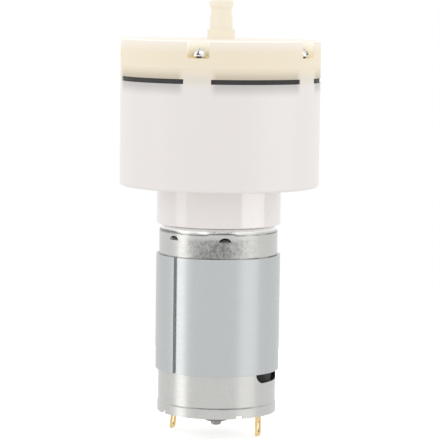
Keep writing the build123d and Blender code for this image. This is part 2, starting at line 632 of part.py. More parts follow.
def pump_housing():
    """White moulding: collar on the motor, wide head and the five screw posts."""
    floor_top = HEAD_BOTTOM_Z + HEAD_FLOOR
    mid_wall = HEAD_RADIUS - HEAD_WALL / 2
    body = disc(HEAD_RADIUS, HEAD_BOTTOM_Z, FLANGE_TOP_Z)
    body = fillet(bottom_edge(body), HEAD_EDGE_RADIUS)
    body += disc(COLLAR_RADIUS, CAN_FRONT_Z, floor_top)
    body -= disc(HEAD_BORE, floor_top, FLANGE_TOP_Z)
    body -= disc(COLLAR_RADIUS - COLLAR_WALL, COLLAR_FLOOR_Z, FLANGE_TOP_Z)
    foot = post(POST_RADIUS + POST_FOOT_STEP, HEAD_BOTTOM_Z, SEAT_Z, mid_wall)
    neck = post(POST_RADIUS, HEAD_BOTTOM_Z, FLANGE_TOP_Z, mid_wall)
    body += around(foot, POST_ANGLES) + around(neck, POST_ANGLES)
    slit = disc(HEAD_RADIUS + HEAD_WALL, HEAD_TOP_Z, FLANGE_TOP_Z)
    body -= slit - around(post(POST_RADIUS, HEAD_TOP_Z, FLANGE_TOP_Z, HEAD_DIAMETER), POST_ANGLES)
    pilot = column(
        POST_CIRCLE,
        COVER_SCREW_RADIUS + SCREW_CLEARANCE,
        POCKET_FLOOR_Z - COVER_SCREW_LENGTH - HEAD_CLEARANCE,
        FLANGE_TOP_Z,
    )
    body -= around(pilot, POST_ANGLES)
    port = column(EXHAUST_CIRCLE, EXHAUST_RADIUS, HEAD_BOTTOM_Z, HEAD_BOTTOM_Z + HEAD_FLOOR)
    body -= around(port, CUP_ANGLES)
    body -= disc(FRONT_BOSS_RADIUS + PLATE_CLEARANCE, CAN_FRONT_Z, COLLAR_FLOOR_Z)
    screw_hole = column(
        MOTOR_SCREW_CIRCLE,
        MOTOR_SCREW_RADIUS + SCREW_CLEARANCE,
        CAN_FRONT_Z,
        COLLAR_FLOOR_Z,
    )
    return body - around(screw_hole, TERMINAL_ANGLES)


def eccentric():
    """Hub on the shaft with a leaning socket for the drive pin."""
    body = disc(ECCENTRIC_HUB_RADIUS, ECCENTRIC_Z, ECCENTRIC_TOP_Z + PIN_RADIUS)
    body += disc(ECCENTRIC_FLANGE_RADIUS, ECCENTRIC_Z, ECCENTRIC_Z + ECCENTRIC_FLANGE_THICKNESS)
    body -= disc(SHAFT_RADIUS, ECCENTRIC_Z, SHAFT_TIP_Z)
    face = Pos(0, 0, -ECCENTRIC_FACE_REACH) * Cylinder(HEAD_RADIUS, ECCENTRIC_HEIGHT, align=UPRIGHT)
    socket = Pos(0, 0, -PIN_SOCKET_REACH) * Cylinder(
        PIN_RADIUS + PIN_CLEARANCE,
        ECCENTRIC_HEIGHT,
        align=UPRIGHT,
    )
    body -= [WOBBLE_FRAME * face, WOBBLE_FRAME * socket]
    relief = column(
        (ECCENTRIC_HUB_RADIUS + ECCENTRIC_FLANGE_RADIUS) / 2,
        (ECCENTRIC_FLANGE_RADIUS - ECCENTRIC_HUB_RADIUS) / 2 - RELIEF_WALL,
        ECCENTRIC_Z,
        ECCENTRIC_Z + ECCENTRIC_FLANGE_THICKNESS,
    )
    return body - around(relief, RELIEF_ANGLES)


def drive_pin():
    """Steel pin from the eccentric's socket up into the wobble plate."""
    length = PIN_SOCKET_REACH + PIN_ABOVE_PIVOT - PIN_END_GAP
    pin = Pos(0, 0, PIN_END_GAP - PIN_SOCKET_REACH) * Cylinder(PIN_RADIUS, length, align=UPRIGHT)
    return WOBBLE_FRAME * chamfer([bottom_edge(pin), top_edge(pin)], PIN_RADIUS / 5)


def wobble_plate():
    """Five-armed plate that the leaning pin rocks without turning it."""
    half = ARM_THICKNESS / 2
    arm = Rectangle(ARM_WIDTH, CUP_CIRCLE, align=(Align.CENTER, Align.MAX))
    arm += Pos(0, -CUP_CIRCLE) * Circle(ARM_END_RADIUS)
    star = Pos(0, 0, -half) * extrude(arm, ARM_THICKNESS)
    rib = Box(ARM_RIB_WIDTH, CUP_CIRCLE - ARM_END_RADIUS, ARM_RIB_DEPTH, align=OUTWARD)
    star += Pos(0, 0, -half - ARM_RIB_DEPTH) * rib
    plate = disc(WOBBLE_HUB_RADIUS, -WOBBLE_HUB_BELOW, WOBBLE_HUB_ABOVE)
    plate += around(star, CUP_ANGLES)
    hole = column(CUP_CIRCLE, STEM_RADIUS + STEM_CLEARANCE, -half, half)
    plate -= around(hole, CUP_ANGLES)
    return WOBBLE_FRAME * (plate - disc(PIN_RADIUS, -WOBBLE_HUB_BELOW, PIN_ABOVE_PIVOT))


def diaphragm_seat():
    """Plate under the diaphragm with a well for each cup."""
    seat = disc(SEAT_RADIUS, SEAT_Z, HEAD_TOP_Z)
    seat -= around(column(CUP_CIRCLE, CUP_RADIUS + CUP_CLEARANCE, SEAT_Z, HEAD_TOP_Z), CUP_ANGLES)
    seat -= around(column(DUCT_CIRCLE, DUCT_RADIUS, SEAT_Z, HEAD_TOP_Z), POST_ANGLES)
    notch = post(POST_RADIUS + POST_CLEARANCE, SEAT_Z, HEAD_TOP_Z, HEAD_RADIUS)
    return seat - around(notch, POST_ANGLES)


def diaphragm():
    """Rubber moulding: clamped flange and five cups that end in stems."""
    flange = disc(HEAD_RADIUS - FLANGE_INSET, HEAD_TOP_Z, FLANGE_TOP_Z)
    notch = post(POST_RADIUS + POST_CLEARANCE, HEAD_TOP_Z, FLANGE_TOP_Z, HEAD_DIAMETER)
    flange -= around(notch, POST_ANGLES)
    flange -= around(column(DUCT_CIRCLE, DUCT_RADIUS, HEAD_TOP_Z, FLANGE_TOP_Z), POST_ANGLES)
    for angle in CUP_ANGLES:
        outer, hollow = diaphragm_cup(angle)
        flange = flange + outer - hollow
    return flange


def diaphragm_cup(angle):
    """One cup and its hollow, the cup's foot leaning with the wobble plate."""
    spoke = Rot(0, 0, angle) * Pos(0, -CUP_CIRCLE, 0)
    foot_z = ARM_THICKNESS / 2 + STEM_CLEARANCE
    foot = WOBBLE_FRAME * spoke * Pos(0, 0, foot_z)
    mouth = Pos(0, 0, HEAD_TOP_Z) * spoke
    outer = loft([foot * Circle(CUP_FOOT_RADIUS), mouth * Circle(CUP_RADIUS)])
    floor = foot * Pos(0, 0, CUP_FLOOR)
    brim = mouth * Pos(0, 0, FLANGE_THICKNESS)
    hollow = loft([floor * Circle(CUP_FOOT_RADIUS - CUP_WALL), brim * Circle(CUP_MOUTH)])
    bulb_z = -ARM_THICKNESS - 2 * STEM_CLEARANCE
    stem = disc(STEM_RADIUS, bulb_z, CUP_FLOOR / 2)
    bulb = disc(STEM_BULB_RADIUS, bulb_z - STEM_BULB_LENGTH, bulb_z)
    bulb = chamfer(bottom_edge(bulb), STEM_BULB_RADIUS / 3)
    return outer + foot * (stem + bulb), hollow


def valve_plate():
    """Plate over the diaphragm with the ports of each chamber and two seal grooves."""
    plate = disc(HEAD_RADIUS, FLANGE_TOP_Z, PLATE_TOP_Z)
    holes = around(valve_holes(CUP_CIRCLE - VALVE_OFFSET), CUP_ANGLES)
    holes += around(valve_holes(CUP_CIRCLE + VALVE_OFFSET), CUP_ANGLES)
    holes += around(column(DUCT_CIRCLE, DUCT_RADIUS, FLANGE_TOP_Z, PLATE_TOP_Z), POST_ANGLES)
    screw_radius = COVER_SCREW_RADIUS + SCREW_CLEARANCE
    holes += around(column(POST_CIRCLE, screw_radius, FLANGE_TOP_Z, PLATE_TOP_Z), POST_ANGLES)
    plate -= holes
    for circle in (INNER_SEAL_CIRCLE, OUTER_SEAL_CIRCLE):
        plate -= seal_groove(circle, PLATE_TOP_Z - SEAL_GROOVE_DEPTH, PLATE_TOP_Z)
    return plate


def valve_holes(circle):
    """Stem hole of one valve and the ports that its disc covers."""
    ports = around(column(PORT_CIRCLE, PORT_RADIUS, FLANGE_TOP_Z, PLATE_TOP_Z), quarter_turns())
    stem = disc(VALVE_STEM_RADIUS + VALVE_CLEARANCE, FLANGE_TOP_Z, PLATE_TOP_Z)
    return Pos(0, -circle, 0) * Compound(children=[stem] + ports)


def quarter_turns():
    """Angles of the ports round a valve."""
    return [360 / PORTS * i for i in range(PORTS)]


def umbrella_valve():
    """Rubber valve, its disc at height zero and its stem standing up through the plate."""
    valve = disc(VALVE_RADIUS, -VALVE_DISC, 0) + disc(VALVE_STEM_RADIUS, 0, VALVE_PLATE_THICKNESS)
    bead = disc(VALVE_BEAD_RADIUS, VALVE_PLATE_THICKNESS, VALVE_PLATE_THICKNESS + VALVE_BEAD_LENGTH)
    return valve + chamfer(top_edge(bead), VALVE_BEAD_LENGTH / 2)


def inlet_valve(angle):
    """Valve under the plate that lets air down into a cup."""
    place = Pos(0, VALVE_OFFSET - CUP_CIRCLE, FLANGE_TOP_Z)
    return Rot(0, 0, angle) * place * umbrella_valve()


def outlet_valve(angle):
    """Valve on top of the plate that lets air up out of a cup."""
    place = Pos(0, -CUP_CIRCLE - VALVE_OFFSET, PLATE_TOP_Z)
    return Rot(0, 0, angle) * place * Rot(180, 0, 0) * umbrella_valve()


def seal_groove(circle, bottom, top):
    """Cut for half of a sealing ring's depth."""
    return tube(circle + GROOVE_HALF, circle - GROOVE_HALF, bottom, top)


def seal(circle):
    """Round rubber ring in a groove of the valve plate."""
    return Pos(0, 0, SEAL_Z) * Torus(circle, SEAL_RADIUS)


def nozzle():
    """Hose nozzle with a base boss, a neck and a lip, on the cover's roof."""
    lip_foot = (NOZZLE_LIP_RADIUS, NOZZLE_NECK_Z)
    lip_edge = (NOZZLE_LIP_RADIUS, NOZZLE_TOP_Z - NOZZLE_LIP_CHAMFER)
    points = [
        (0, COVER_TOP_Z - COVER_ROOF / 2),
        (NOZZLE_BASE_RADIUS, COVER_TOP_Z - COVER_ROOF / 2),
        (NOZZLE_BASE_RADIUS, NOZZLE_BASE_Z),
        (NOZZLE_BODY_RADIUS, NOZZLE_BASE_Z),
        (NOZZLE_BODY_RADIUS, NOZZLE_BODY_Z),
        (NOZZLE_NECK_RADIUS, NOZZLE_BODY_Z),
        (NOZZLE_NECK_RADIUS, NOZZLE_NECK_Z),
        lip_foot,
        lip_edge,
        (NOZZLE_LIP_RADIUS - NOZZLE_LIP_CHAMFER, NOZZLE_TOP_Z),
        (0, NOZZLE_TOP_Z),
    ]
    return revolve(Plane.XZ * make_face(Polyline(points, close=True)), Axis.Z)


def head_cover():
    """Cream cover: inlet plenum under the nozzle, exhaust ring round it, screw pockets."""
    body = disc(HEAD_RADIUS, PLATE_TOP_Z, COVER_TOP_Z)
    body = fillet(top_edge(body), COVER_EDGE_RADIUS)
    ceiling = COVER_TOP_Z - COVER_ROOF
    divider_inner = INNER_SEAL_CIRCLE - DIVIDER_WALL / 2
    divider_outer = INNER_SEAL_CIRCLE + DIVIDER_WALL / 2
    chamber_edge = OUTER_SEAL_CIRCLE - GROOVE_HALF - SEAL_WALL
    chamber = tube(chamber_edge, divider_outer, PLATE_TOP_Z, ceiling)
    wall = post(SCREW_POCKET_WIDTH / 2 + SCREW_POCKET_WALL, PLATE_TOP_Z, ceiling, HEAD_RADIUS)
    chamber -= around(wall, POST_ANGLES)
    body -= [disc(divider_inner, PLATE_TOP_Z, ceiling), chamber]
    for circle in (INNER_SEAL_CIRCLE, OUTER_SEAL_CIRCLE):
        body -= seal_groove(circle, PLATE_TOP_Z, SEAL_TOP_Z)
    pocket = post(SCREW_POCKET_WIDTH / 2, POCKET_FLOOR_Z, COVER_TOP_Z, HEAD_DIAMETER)
    body -= around(pocket, POST_ANGLES)
    hole = column(POST_CIRCLE, COVER_SCREW_RADIUS + SCREW_CLEARANCE, PLATE_TOP_Z, POCKET_FLOOR_Z)
    body -= around(hole, POST_ANGLES)
    return body + nozzle() - disc(NOZZLE_BORE_RADIUS, PLATE_TOP_Z, NOZZLE_TOP_Z)


def numbered(name, shapes):
    """Names that count a row of like pieces from one."""
    return {f"{name}_{i + 1}": shape for i, shape in enumerate(shapes)}


PARTS = {
    "motor_can": motor_can(),
    "flux_ring": flux_ring(),
    **numbered("magnet", [magnet(angle) for angle in MAGNET_ANGLES]),
    **numbered("magnet_clip", [magnet_clip(angle) for angle in MAGNET_ANGLES]),
    "end_plate": end_plate(),
    "rear_bearing": rear_bearing(),
    "front_bearing": front_bearing(),
    "brush_card": brush_card(),
    **numbered("terminal", [terminal(*pair) for pair in zip(TERMINAL_ANGLES, TERMINAL_BENDS)]),
    **numbered("brush_arm", [brush_arm(angle) for angle in TERMINAL_ANGLES]),
    **numbered("brush", [brush(angle) for angle in TERMINAL_ANGLES]),
    "motor_shaft": motor_shaft(),
    "armature_core": armature_core(),
    "rear_insulator": core_insulator(CORE_Z - INSULATOR_THICKNESS),
    "front_insulator": core_insulator(CORE_TOP_Z),
    "windings": group(around(winding(), POLE_ANGLES)),
    "commutator_hub": commutator_hub(),
    "commutator_segments": group(commutator_segment(angle) for angle in POLE_ANGLES),
    "rear_thrust_washer": thrust_washer(REAR_WASHER_Z),
    "front_thrust_washer": thrust_washer(FRONT_WASHER_Z),
    "shaft_spacer": shaft_spacer(),
    "motor_screws": group(motor_screw(angle) for angle in TERMINAL_ANGLES),
    "pump_housing": pump_housing(),
    "eccentric": eccentric(),
    "drive_pin": drive_pin(),
    "wobble_plate": wobble_plate(),
    "diaphragm_seat": diaphragm_seat(),
    "diaphragm": diaphragm(),
    "valve_plate": valve_plate(),
    **numbered("inlet_valve", [inlet_valve(angle) for angle in CUP_ANGLES]),
    **numbered("outlet_valve", [outlet_valve(angle) for angle in CUP_ANGLES]),
    "inner_seal": seal(INNER_SEAL_CIRCLE),
    "outer_seal": seal(OUTER_SEAL_CIRCLE),
    "head_cover": head_cover(),
    "cover_screws": group(cover_screw(angle) for angle in POST_ANGLES),
}

os.makedirs("parts", exist_ok=True)
for part_name, part_shape in PARTS.items():
    export_step(part_shape, f"parts/{part_name}.step")
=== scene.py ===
"""Looks of the mini vacuum pump: its finishes, finer surfaces, studio and camera.

Every length is in metres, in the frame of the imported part: +Z runs up the motor axis
to the hose nozzle and -Y is the side that the camera looks at. Angles are in degrees,
counted from the front towards +X.
"""

import json
import logging
import math
from collections.abc import Callable, Iterable, Iterator, Sequence
from contextlib import contextmanager
from dataclasses import dataclass
from enum import Enum, IntEnum
from typing import Protocol

import bmesh
import bpy
from mathutils import Matrix, Vector


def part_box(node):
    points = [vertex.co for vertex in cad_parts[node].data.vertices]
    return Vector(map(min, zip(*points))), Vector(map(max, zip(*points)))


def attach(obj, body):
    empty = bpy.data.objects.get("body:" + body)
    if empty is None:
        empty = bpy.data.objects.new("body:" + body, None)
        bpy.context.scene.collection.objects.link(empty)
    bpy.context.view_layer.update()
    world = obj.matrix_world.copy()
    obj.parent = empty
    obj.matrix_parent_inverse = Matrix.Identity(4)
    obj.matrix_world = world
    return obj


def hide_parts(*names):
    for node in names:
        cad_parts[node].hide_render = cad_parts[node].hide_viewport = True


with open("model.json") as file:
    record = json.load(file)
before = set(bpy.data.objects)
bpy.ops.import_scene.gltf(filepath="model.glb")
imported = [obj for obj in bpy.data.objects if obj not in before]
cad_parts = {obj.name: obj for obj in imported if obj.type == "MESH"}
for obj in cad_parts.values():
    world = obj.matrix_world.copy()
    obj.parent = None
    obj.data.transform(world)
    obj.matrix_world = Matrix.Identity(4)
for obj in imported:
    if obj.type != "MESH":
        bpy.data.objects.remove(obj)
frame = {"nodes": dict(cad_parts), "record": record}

log = logging.getLogger("pump")

MM = 0.001
TOUCH = 0.001 * MM  # points closer than this are one point
FLAT_ANGLE = 0.5  # faces that meet at less than this are one face
SMOOTH_ANGLE = 30.0  # edges sharper than this stay sharp
CAN_RADIUS = 17.9 * MM
BAND_STEP = math.tau / 20  # from band to band of a wave texture whose scale is 1
NOISE_MIDDLE = 0.5  # what a cloudy pattern is on average
ROUND_STEPS = 3  # faces across a rounding that shows
CASE_BODY = "root"

Colour = tuple[float, float, float]
Pair = tuple[float, float]
Socket = bpy.types.NodeSocket


def linear(red: int, green: int, blue: int) -> Colour:
    """Scene-linear colour of a screen colour given in steps of 0 to 255."""
    def channel(step: int) -> float:
        """Linear value of one screen step."""
        share = step / 255
        return share / 12.92 if share <= 0.04045 else ((share + 0.055) / 1.055) ** 2.4
    return channel(red), channel(green), channel(blue)


@dataclass(frozen=True)
class Pattern:
    """A cloudy pattern, which can be stretched to a grain that runs one way.

    The scale is in blobs to a metre, the detail counts the finer octaves on top of them,
    and the weight is that of each octave against the one before.
    """

    scale: float
    detail: float = 2.0
    weight: float = 0.5
    stretch: tuple[float, float, float] | None = None


class Nodes:
    """A node tree, with short calls for the nodes that finishes and the world share."""

    def __init__(self, tree: bpy.types.NodeTree) -> None:
        """Take on a node tree and empty it."""
        self.tree = tree
        tree.nodes.clear()

    def fill(self, socket: Socket, value: Socket | float | tuple[float, ...]) -> None:
        """Link a source to an input, or set the input to a constant."""
        if isinstance(value, bpy.types.NodeSocket):
            self.tree.links.new(value, socket)
        else:
            socket.default_value = (*value, 1.0) if socket.type == "RGBA" else value

    def add(self, kind: str, inputs: dict[str | int, object] | None = None,
            **settings: object) -> bpy.types.Node:
        """Add a node, set it and fill or link its inputs.

        Args:
            kind: Blender's name of the node type.
            inputs: a value or a socket for each input, by name or by number.
            settings: attributes of the node.

        Returns:
            The new node.
        """
        node = self.tree.nodes.new(kind)
        for key, value in settings.items():
            setattr(node, key, value)
        for key, value in (inputs or {}).items():
            self.fill(node.inputs[key], value)
        return node

    def sums(self, operation: str, *values: Socket | float) -> Socket:
        """Result of an arithmetic operation on one to three values."""
        node = self.add("ShaderNodeMath", dict(enumerate(values)), operation=operation)
        return node.outputs["Value"]

    def chain(self, operation: str, first: Socket, *others: Socket | float) -> Socket:
        """Result of an operation that takes up one value after the other."""
        for value in others:
            first = self.sums(operation, first, value)
        return first

    def spread(self, source: Socket, low: float, high: float, start: float = 0.0,
               end: float = 1.0) -> Socket:
        """A value's range carried over to another range, and held at its ends.

        Args:
            source: the value.
            low: value that gives start.
            high: value that gives end.
            start: result at low.
            end: result at high.

        Returns:
            The new value.
        """
        inputs = {"Value": source, "From Min": low, "From Max": high, "To Min": start,
                  "To Max": end}
        node = self.add("ShaderNodeMapRange", inputs, interpolation_type="SMOOTHSTEP")
        return node.outputs["Result"]


class Shader(Nodes):
    """Node tree of one finish: a surface shader and what drives it."""

    def __init__(self, name: str) -> None:
        """Start a material with one surface shader and the object's own coordinates.

        Args:
            name: name of the material.
        """
        self.material = bpy.data.materials.new(name)
        self.material.use_nodes = True
        super().__init__(self.material.node_tree)
        self.surface = self.add("ShaderNodeBsdfPrincipled")
        self.output = self.add("ShaderNodeOutputMaterial",
                               {"Surface": self.surface.outputs["BSDF"]})
        self.place = self.add("ShaderNodeTexCoord").outputs["Object"]

    def set(self, **values: Socket | float | Colour) -> None:
        """Set or link inputs of the surface shader.

        Args:
            values: names of inputs, their spaces as underscores, and what each one gets.
        """
        for key, value in values.items():
            self.fill(self.surface.inputs[key.replace("_", " ")], value)

    def clear(self, share: Socket) -> None:
        """Let rays by where a share is 1."""
        empty = self.add("ShaderNodeBsdfTransparent").outputs["BSDF"]
        mix = self.add("ShaderNodeMixShader", {0: share, 1: self.surface.outputs["BSDF"], 2: empty})
        self.fill(self.output.inputs["Surface"], mix.outputs["Shader"])

    def noise(self, pattern: Pattern) -> Socket:
        """A cloudy pattern from 0 to 1 on the object's own coordinates."""
        place = self.place
        if pattern.stretch:
            mapping = self.add("ShaderNodeMapping", {"Vector": place, "Scale": pattern.stretch})
            place = mapping.outputs["Vector"]
        inputs = {"Vector": place, "Scale": pattern.scale, "Detail": pattern.detail,
                  "Roughness": pattern.weight}
        return self.add("ShaderNodeTexNoise", inputs).outputs["Fac"]

    def cells(self, scale: float) -> Socket:
        """Distance from the middle of each cell of a crackled pattern."""
        node = self.add("ShaderNodeTexVoronoi", {"Vector": self.place, "Scale": scale})
        return node.outputs["Distance"]

    def bands(self, scale: float, direction: str, warp: float) -> Socket:
        """Straight bands from 0 to 1.

        Args:
            scale: how close the bands stand.
            direction: axis that the bands follow one another along.
            warp: how much they waver.

        Returns:
            The pattern.
        """
        inputs = {"Vector": self.place, "Scale": scale, "Distortion": warp}
        return self.add("ShaderNodeTexWave", inputs, bands_direction=direction).outputs["Fac"]

    def along(self, axis: str) -> Socket:
        """Place along one axis of the frame in metres."""
        return self.add("ShaderNodeSeparateXYZ", {"Vector": self.place}).outputs[axis]

    def height(self) -> Socket:
        """Height above the frame's origin in metres."""
        return self.along("Z")

    def reach(self) -> Socket:
        """Distance from the motor axis in metres."""
        sides = [self.along(axis) for axis in "XY"]
        squares = [self.sums("MULTIPLY", side, side) for side in sides]
        return self.sums("SQRT", self.sums("ADD", *squares))

    def turn(self) -> Socket:
        """Radians round the motor axis from the front towards +X."""
        return self.sums("ARCTAN2", self.along("X"), self.sums("MULTIPLY", self.along("Y"), -1.0))

    def attribute(self, name: str) -> Socket:
        """Value of a named attribute of the mesh."""
        return self.add("ShaderNodeAttribute", attribute_name=name).outputs["Fac"]

    def near(self, source: Socket, middle: float, reach: float, core: float = 0.0) -> Socket:
        """Share that is 1 where a value is close to a middle and 0 past its reach.

        Args:
            source: the value.
            middle: where the share is 1.
            reach: how far away the share has gone to 0.
            core: how far away the share is still 1.

        Returns:
            The share.
        """
        away = self.sums("ABSOLUTE", self.sums("SUBTRACT", source, middle))
        return self.spread(away, core, reach, 1.0, 0.0)

    def between(self, source: Socket, low: float, high: float) -> Socket:
        """Share that is 1 between two values and 0 outside them."""
        return self.sums("MULTIPLY", self.sums("GREATER_THAN", source, low),
                         self.sums("LESS_THAN", source, high))

    def blend(self, share: Socket, first: Colour | Socket, second: Colour | Socket) -> Socket:
        """Mix two colours by a share.

        Args:
            share: 0 gives the first colour and 1 the second.
            first: a colour or a socket that gives one.
            second: a colour or a socket that gives one.

        Returns:
            The mixed colour.
        """
        inputs = {"Factor": share, 6: first, 7: second}  # 6 and 7 are the two colours
        return self.add("ShaderNodeMix", inputs, data_type="RGBA").outputs[2]

    def relief(self, height: Socket, depth: float, under: Socket | None = None) -> Socket:
        """Bump from a height pattern.

        Args:
            height: the pattern from 0 to 1.
            depth: how deep a full step of it is, in metres.
            under: normals of a coarser bump below this one.

        Returns:
            The surface normals.
        """
        inputs = {"Height": height, "Distance": depth, "Strength": 1.0}
        if under is not None:
            inputs["Normal"] = under
        return self.add("ShaderNodeBump", inputs).outputs["Normal"]


@dataclass(frozen=True)
class Finish:
    """A surface finish that is painted on pieces and names its slot of the record.

    The shades are factors on the colour for its darkest and lightest spots. The gloss span
    is the range of the pattern that the roughness follows, and the gloss reach is how far
    the roughness goes below and above its own value.
    """

    slot: str
    colour: Colour
    roughness: float = 0.5
    metallic: float = 0.0
    shades: Pair = (0.95, 1.05)
    gloss_span: Pair = (0.3, 0.7)
    gloss_reach: Pair = (0.04, 0.05)

    def shader(self) -> Shader:
        """Build the finish's node tree.

        Returns:
            The shader.
        """
        shader = Shader(f"{self.slot}_finish")
        shader.set(Base_Color=self.colour, Roughness=self.roughness, Metallic=self.metallic)
        return shader

    def shade(self, factor: float) -> Colour:
        """The finish's colour made darker or lighter by a factor."""
        return tuple(min(1.0, channel * factor) for channel in self.colour)

    def mottled(self, shader: Shader, share: Socket) -> Socket:
        """The finish's colour from its darkest to its lightest spots, by a share."""
        return shader.blend(share, *map(self.shade, self.shades))

    def darken(self, shader: Shader, share: Socket, colour: Socket, factor: float) -> Socket:
        """A colour with a darker shade of the finish over it, by a share."""
        return shader.blend(share, colour, self.shade(factor))

    def gloss(self, shader: Shader, pattern: Socket) -> Socket:
        """Roughness that follows a pattern."""
        smoother, rougher = self.gloss_reach
        return shader.spread(pattern, *self.gloss_span, self.roughness - smoother,
                             self.roughness + rougher)

    def material(self) -> bpy.types.Material:
        """The finish's material, made at its first use."""
        name = f"{self.slot}_finish"
        return bpy.data.materials.get(name) or self.shader().material

    def paint(self, piece: bpy.types.Object) -> None:
        """Give a piece this finish alone.

        Args:
            piece: a mesh object.
        """
        piece.data.materials.clear()
        piece.data.materials.append(self.material())


@dataclass(frozen=True)
class MouldedPlastic(Finish):
    """Moulded plastic: cloudy colour, a fine skin and a slow ripple of the mould."""

    specular: float = 0.4
    clouds: Pattern = Pattern(55.0, 3.0)
    polish: Pattern = Pattern(300.0, 4.0)
    ripple: Pattern = Pattern(38.0, 1.0)
    ripple_depth: float = 0.03 * MM
    skin: Pattern = Pattern(2600.0, 3.0)
    skin_depth: float = 0.004 * MM

    def tint(self, shader: Shader) -> Socket:
        """Cloudy colour of the plastic."""
        return self.mottled(shader, shader.noise(self.clouds))

    def shader(self) -> Shader:
        """Build the plastic's node tree.

        Returns:
            The shader.
        """
        shader = super().shader()
        slow = shader.relief(shader.noise(self.ripple), self.ripple_depth)
        shader.set(Specular_IOR_Level=self.specular, Base_Color=self.tint(shader),
                   Roughness=self.gloss(shader, shader.noise(self.polish)),
                   Normal=shader.relief(shader.noise(self.skin), self.skin_depth, slow))
        return shader


@dataclass(frozen=True)
class HeadPlastic(MouldedPlastic):
    """Plastic of the head: painted shade along the rubber's edge, and painted light where the posts
    shine through.
    """

    edge: float = 69.7 * MM
    fade: float = 2.0 * MM
    # factor of the painted shade towards the rubber
    slit_painted_shade: float = 0.78
    joint: float = 71.1 * MM
    joint_fade: float = 3.2 * MM
    # colour of the painted light over the posts at the joint
    post_bleed_colour: Colour = linear(232, 225, 212)
    first_post: float = -13.1
    post_step: float = 72.0
    post_reach: float = 6.6
    post_fade: float = 4.6

    def tint(self, shader: Shader) -> Socket:
        """Cloudy colour with painted shade towards the rubber and a painted paler blend over the
        posts.

        Args:
            shader: the node tree to add it to.

        Returns:
            The colour.
        """
        from_post = shader.sums("SUBTRACT", shader.turn(), math.radians(self.first_post))
        from_post = shader.sums("PINGPONG", from_post, math.radians(self.post_step / 2))
        slit = shader.spread(from_post, math.radians(self.post_reach),
                             math.radians(self.post_reach + self.post_fade))
        post = shader.sums("SUBTRACT", 1.0, slit)
        height = shader.height()
        # painted shade towards the rubber between the posts, where the dark rubber shows through
        # the plastic
        slit_shade_share = shader.sums("MULTIPLY", slit, shader.near(height, self.edge, self.fade))
        # painted light: over the posts the colour blends across the joint, as light shines through
        # the plastic
        post_bleed_share = shader.sums("MULTIPLY", post, shader.near(height, self.joint, self.joint_fade))
        colour = self.darken(shader, slit_shade_share, super().tint(shader), self.slit_painted_shade)
        return shader.blend(post_bleed_share, colour, self.post_bleed_colour)


@dataclass(frozen=True)
class HousingPlastic(HeadPlastic):
    """Plastic of the housing: polished on the collar and satin on the head."""

    collar_top: float = 38.2 * MM
    collar_fade: float = 1.0 * MM
    collar_roughness: float = 0.1
    collar_specular: float = 0.85

    def shader(self) -> Shader:
        """Build the plastic's node tree with its two grades of polish.

        Returns:
            The shader.
        """
        shader = super().shader()
        step = (shader.height(), self.collar_top - self.collar_fade, self.collar_top)
        shader.set(Roughness=shader.spread(*step, self.collar_roughness, self.roughness),
                   Specular_IOR_Level=shader.spread(*step, self.collar_specular, self.specular))
        return shader


@dataclass(frozen=True)
class CoverPlastic(HeadPlastic):
    """Plastic of the cover: painted light paler towards the roof and in the thin nozzle, and lit
    through round its pockets by a painted glow.
    """

    roof: float = 82.2 * MM
    roof_fade: float = 0.4 * MM
    pocket_floor: float = 77.2 * MM
    outside: float = 30.0 * MM
    nozzle_light_colour: Colour = linear(247, 240, 222)
    roof_light_colour: Colour = linear(251, 242, 231)
    upper_foot: float = 78.3 * MM
    deep_glow: Colour = (0.13, 0.11, 0.06)
    high_glow: Colour = (0.16, 0.2, 0.2)

    def tint(self, shader: Shader) -> Socket:
        """Colour of the head's plastic with painted light: paler towards the roof and in the
        nozzle.

        Args:
            shader: the node tree to add it to.

        Returns:
            The colour.
        """
        height = shader.height()
        # painted light: paler towards the roof and in the thin nozzle, where light shines through
        # the plastic
        upper = shader.spread(height, self.upper_foot, self.roof)
        above = shader.spread(height, self.roof, self.roof + self.roof_fade)
        wall = shader.blend(upper, super().tint(shader), self.roof_light_colour)
        return shader.blend(above, wall, self.nozzle_light_colour)

    def shader(self) -> Shader:
        """Build the plastic's node tree with the light that shines through the pockets.

        Returns:
            The shader.
        """
        shader = super().shader()
        height = shader.height()
        level = shader.between(height, self.pocket_floor - TOUCH, self.roof - TOUCH)
        inside = shader.sums("LESS_THAN", shader.reach(), self.outside)
        deep = shader.spread(height, self.pocket_floor, self.roof)
        shader.set(Emission_Color=shader.blend(deep, self.deep_glow, self.high_glow),
                   Emission_Strength=shader.sums("MULTIPLY", level, inside))
        return shader


@dataclass(frozen=True)
class SheetMetal(Finish):
    """Rolled or plated sheet: a mottled plating, slow dents and fine scratches."""

    metallic: float = 1.0
    shades: Pair = (0.88, 1.12)
    gloss_span: Pair = (0.7, 1.3)
    gloss_reach: Pair = (0.08, 0.08)
    mottle: Pattern = Pattern(420.0, 6.0, 0.65)
    mottle_span: Pair = (0.3, 0.7)
    lines: Pattern = Pattern(1.0, 5.0, 0.6, (90.0, 90.0, 1800.0))
    scratch: float = 0.003 * MM
    wave: Pattern = Pattern(60.0, 2.0)
    wave_depth: float = 0.02 * MM

    def tint(self, shader: Shader, mottle: Socket) -> Socket:
        """Mottled colour of the plating, by a mottle from 0 to 1."""
        return self.mottled(shader, shader.spread(mottle, *self.mottle_span))

    def shader(self) -> Shader:
        """Build the sheet's node tree.

        Returns:
            The shader.
        """
        shader = super().shader()
        mottle, lines = shader.noise(self.mottle), shader.noise(self.lines)
        slow = shader.relief(shader.noise(self.wave), self.wave_depth)
        shader.set(Base_Color=self.tint(shader, mottle),
                   Roughness=self.gloss(shader, shader.sums("ADD", lines, mottle)),
                   Normal=shader.relief(lines, self.scratch, slow))
        return shader


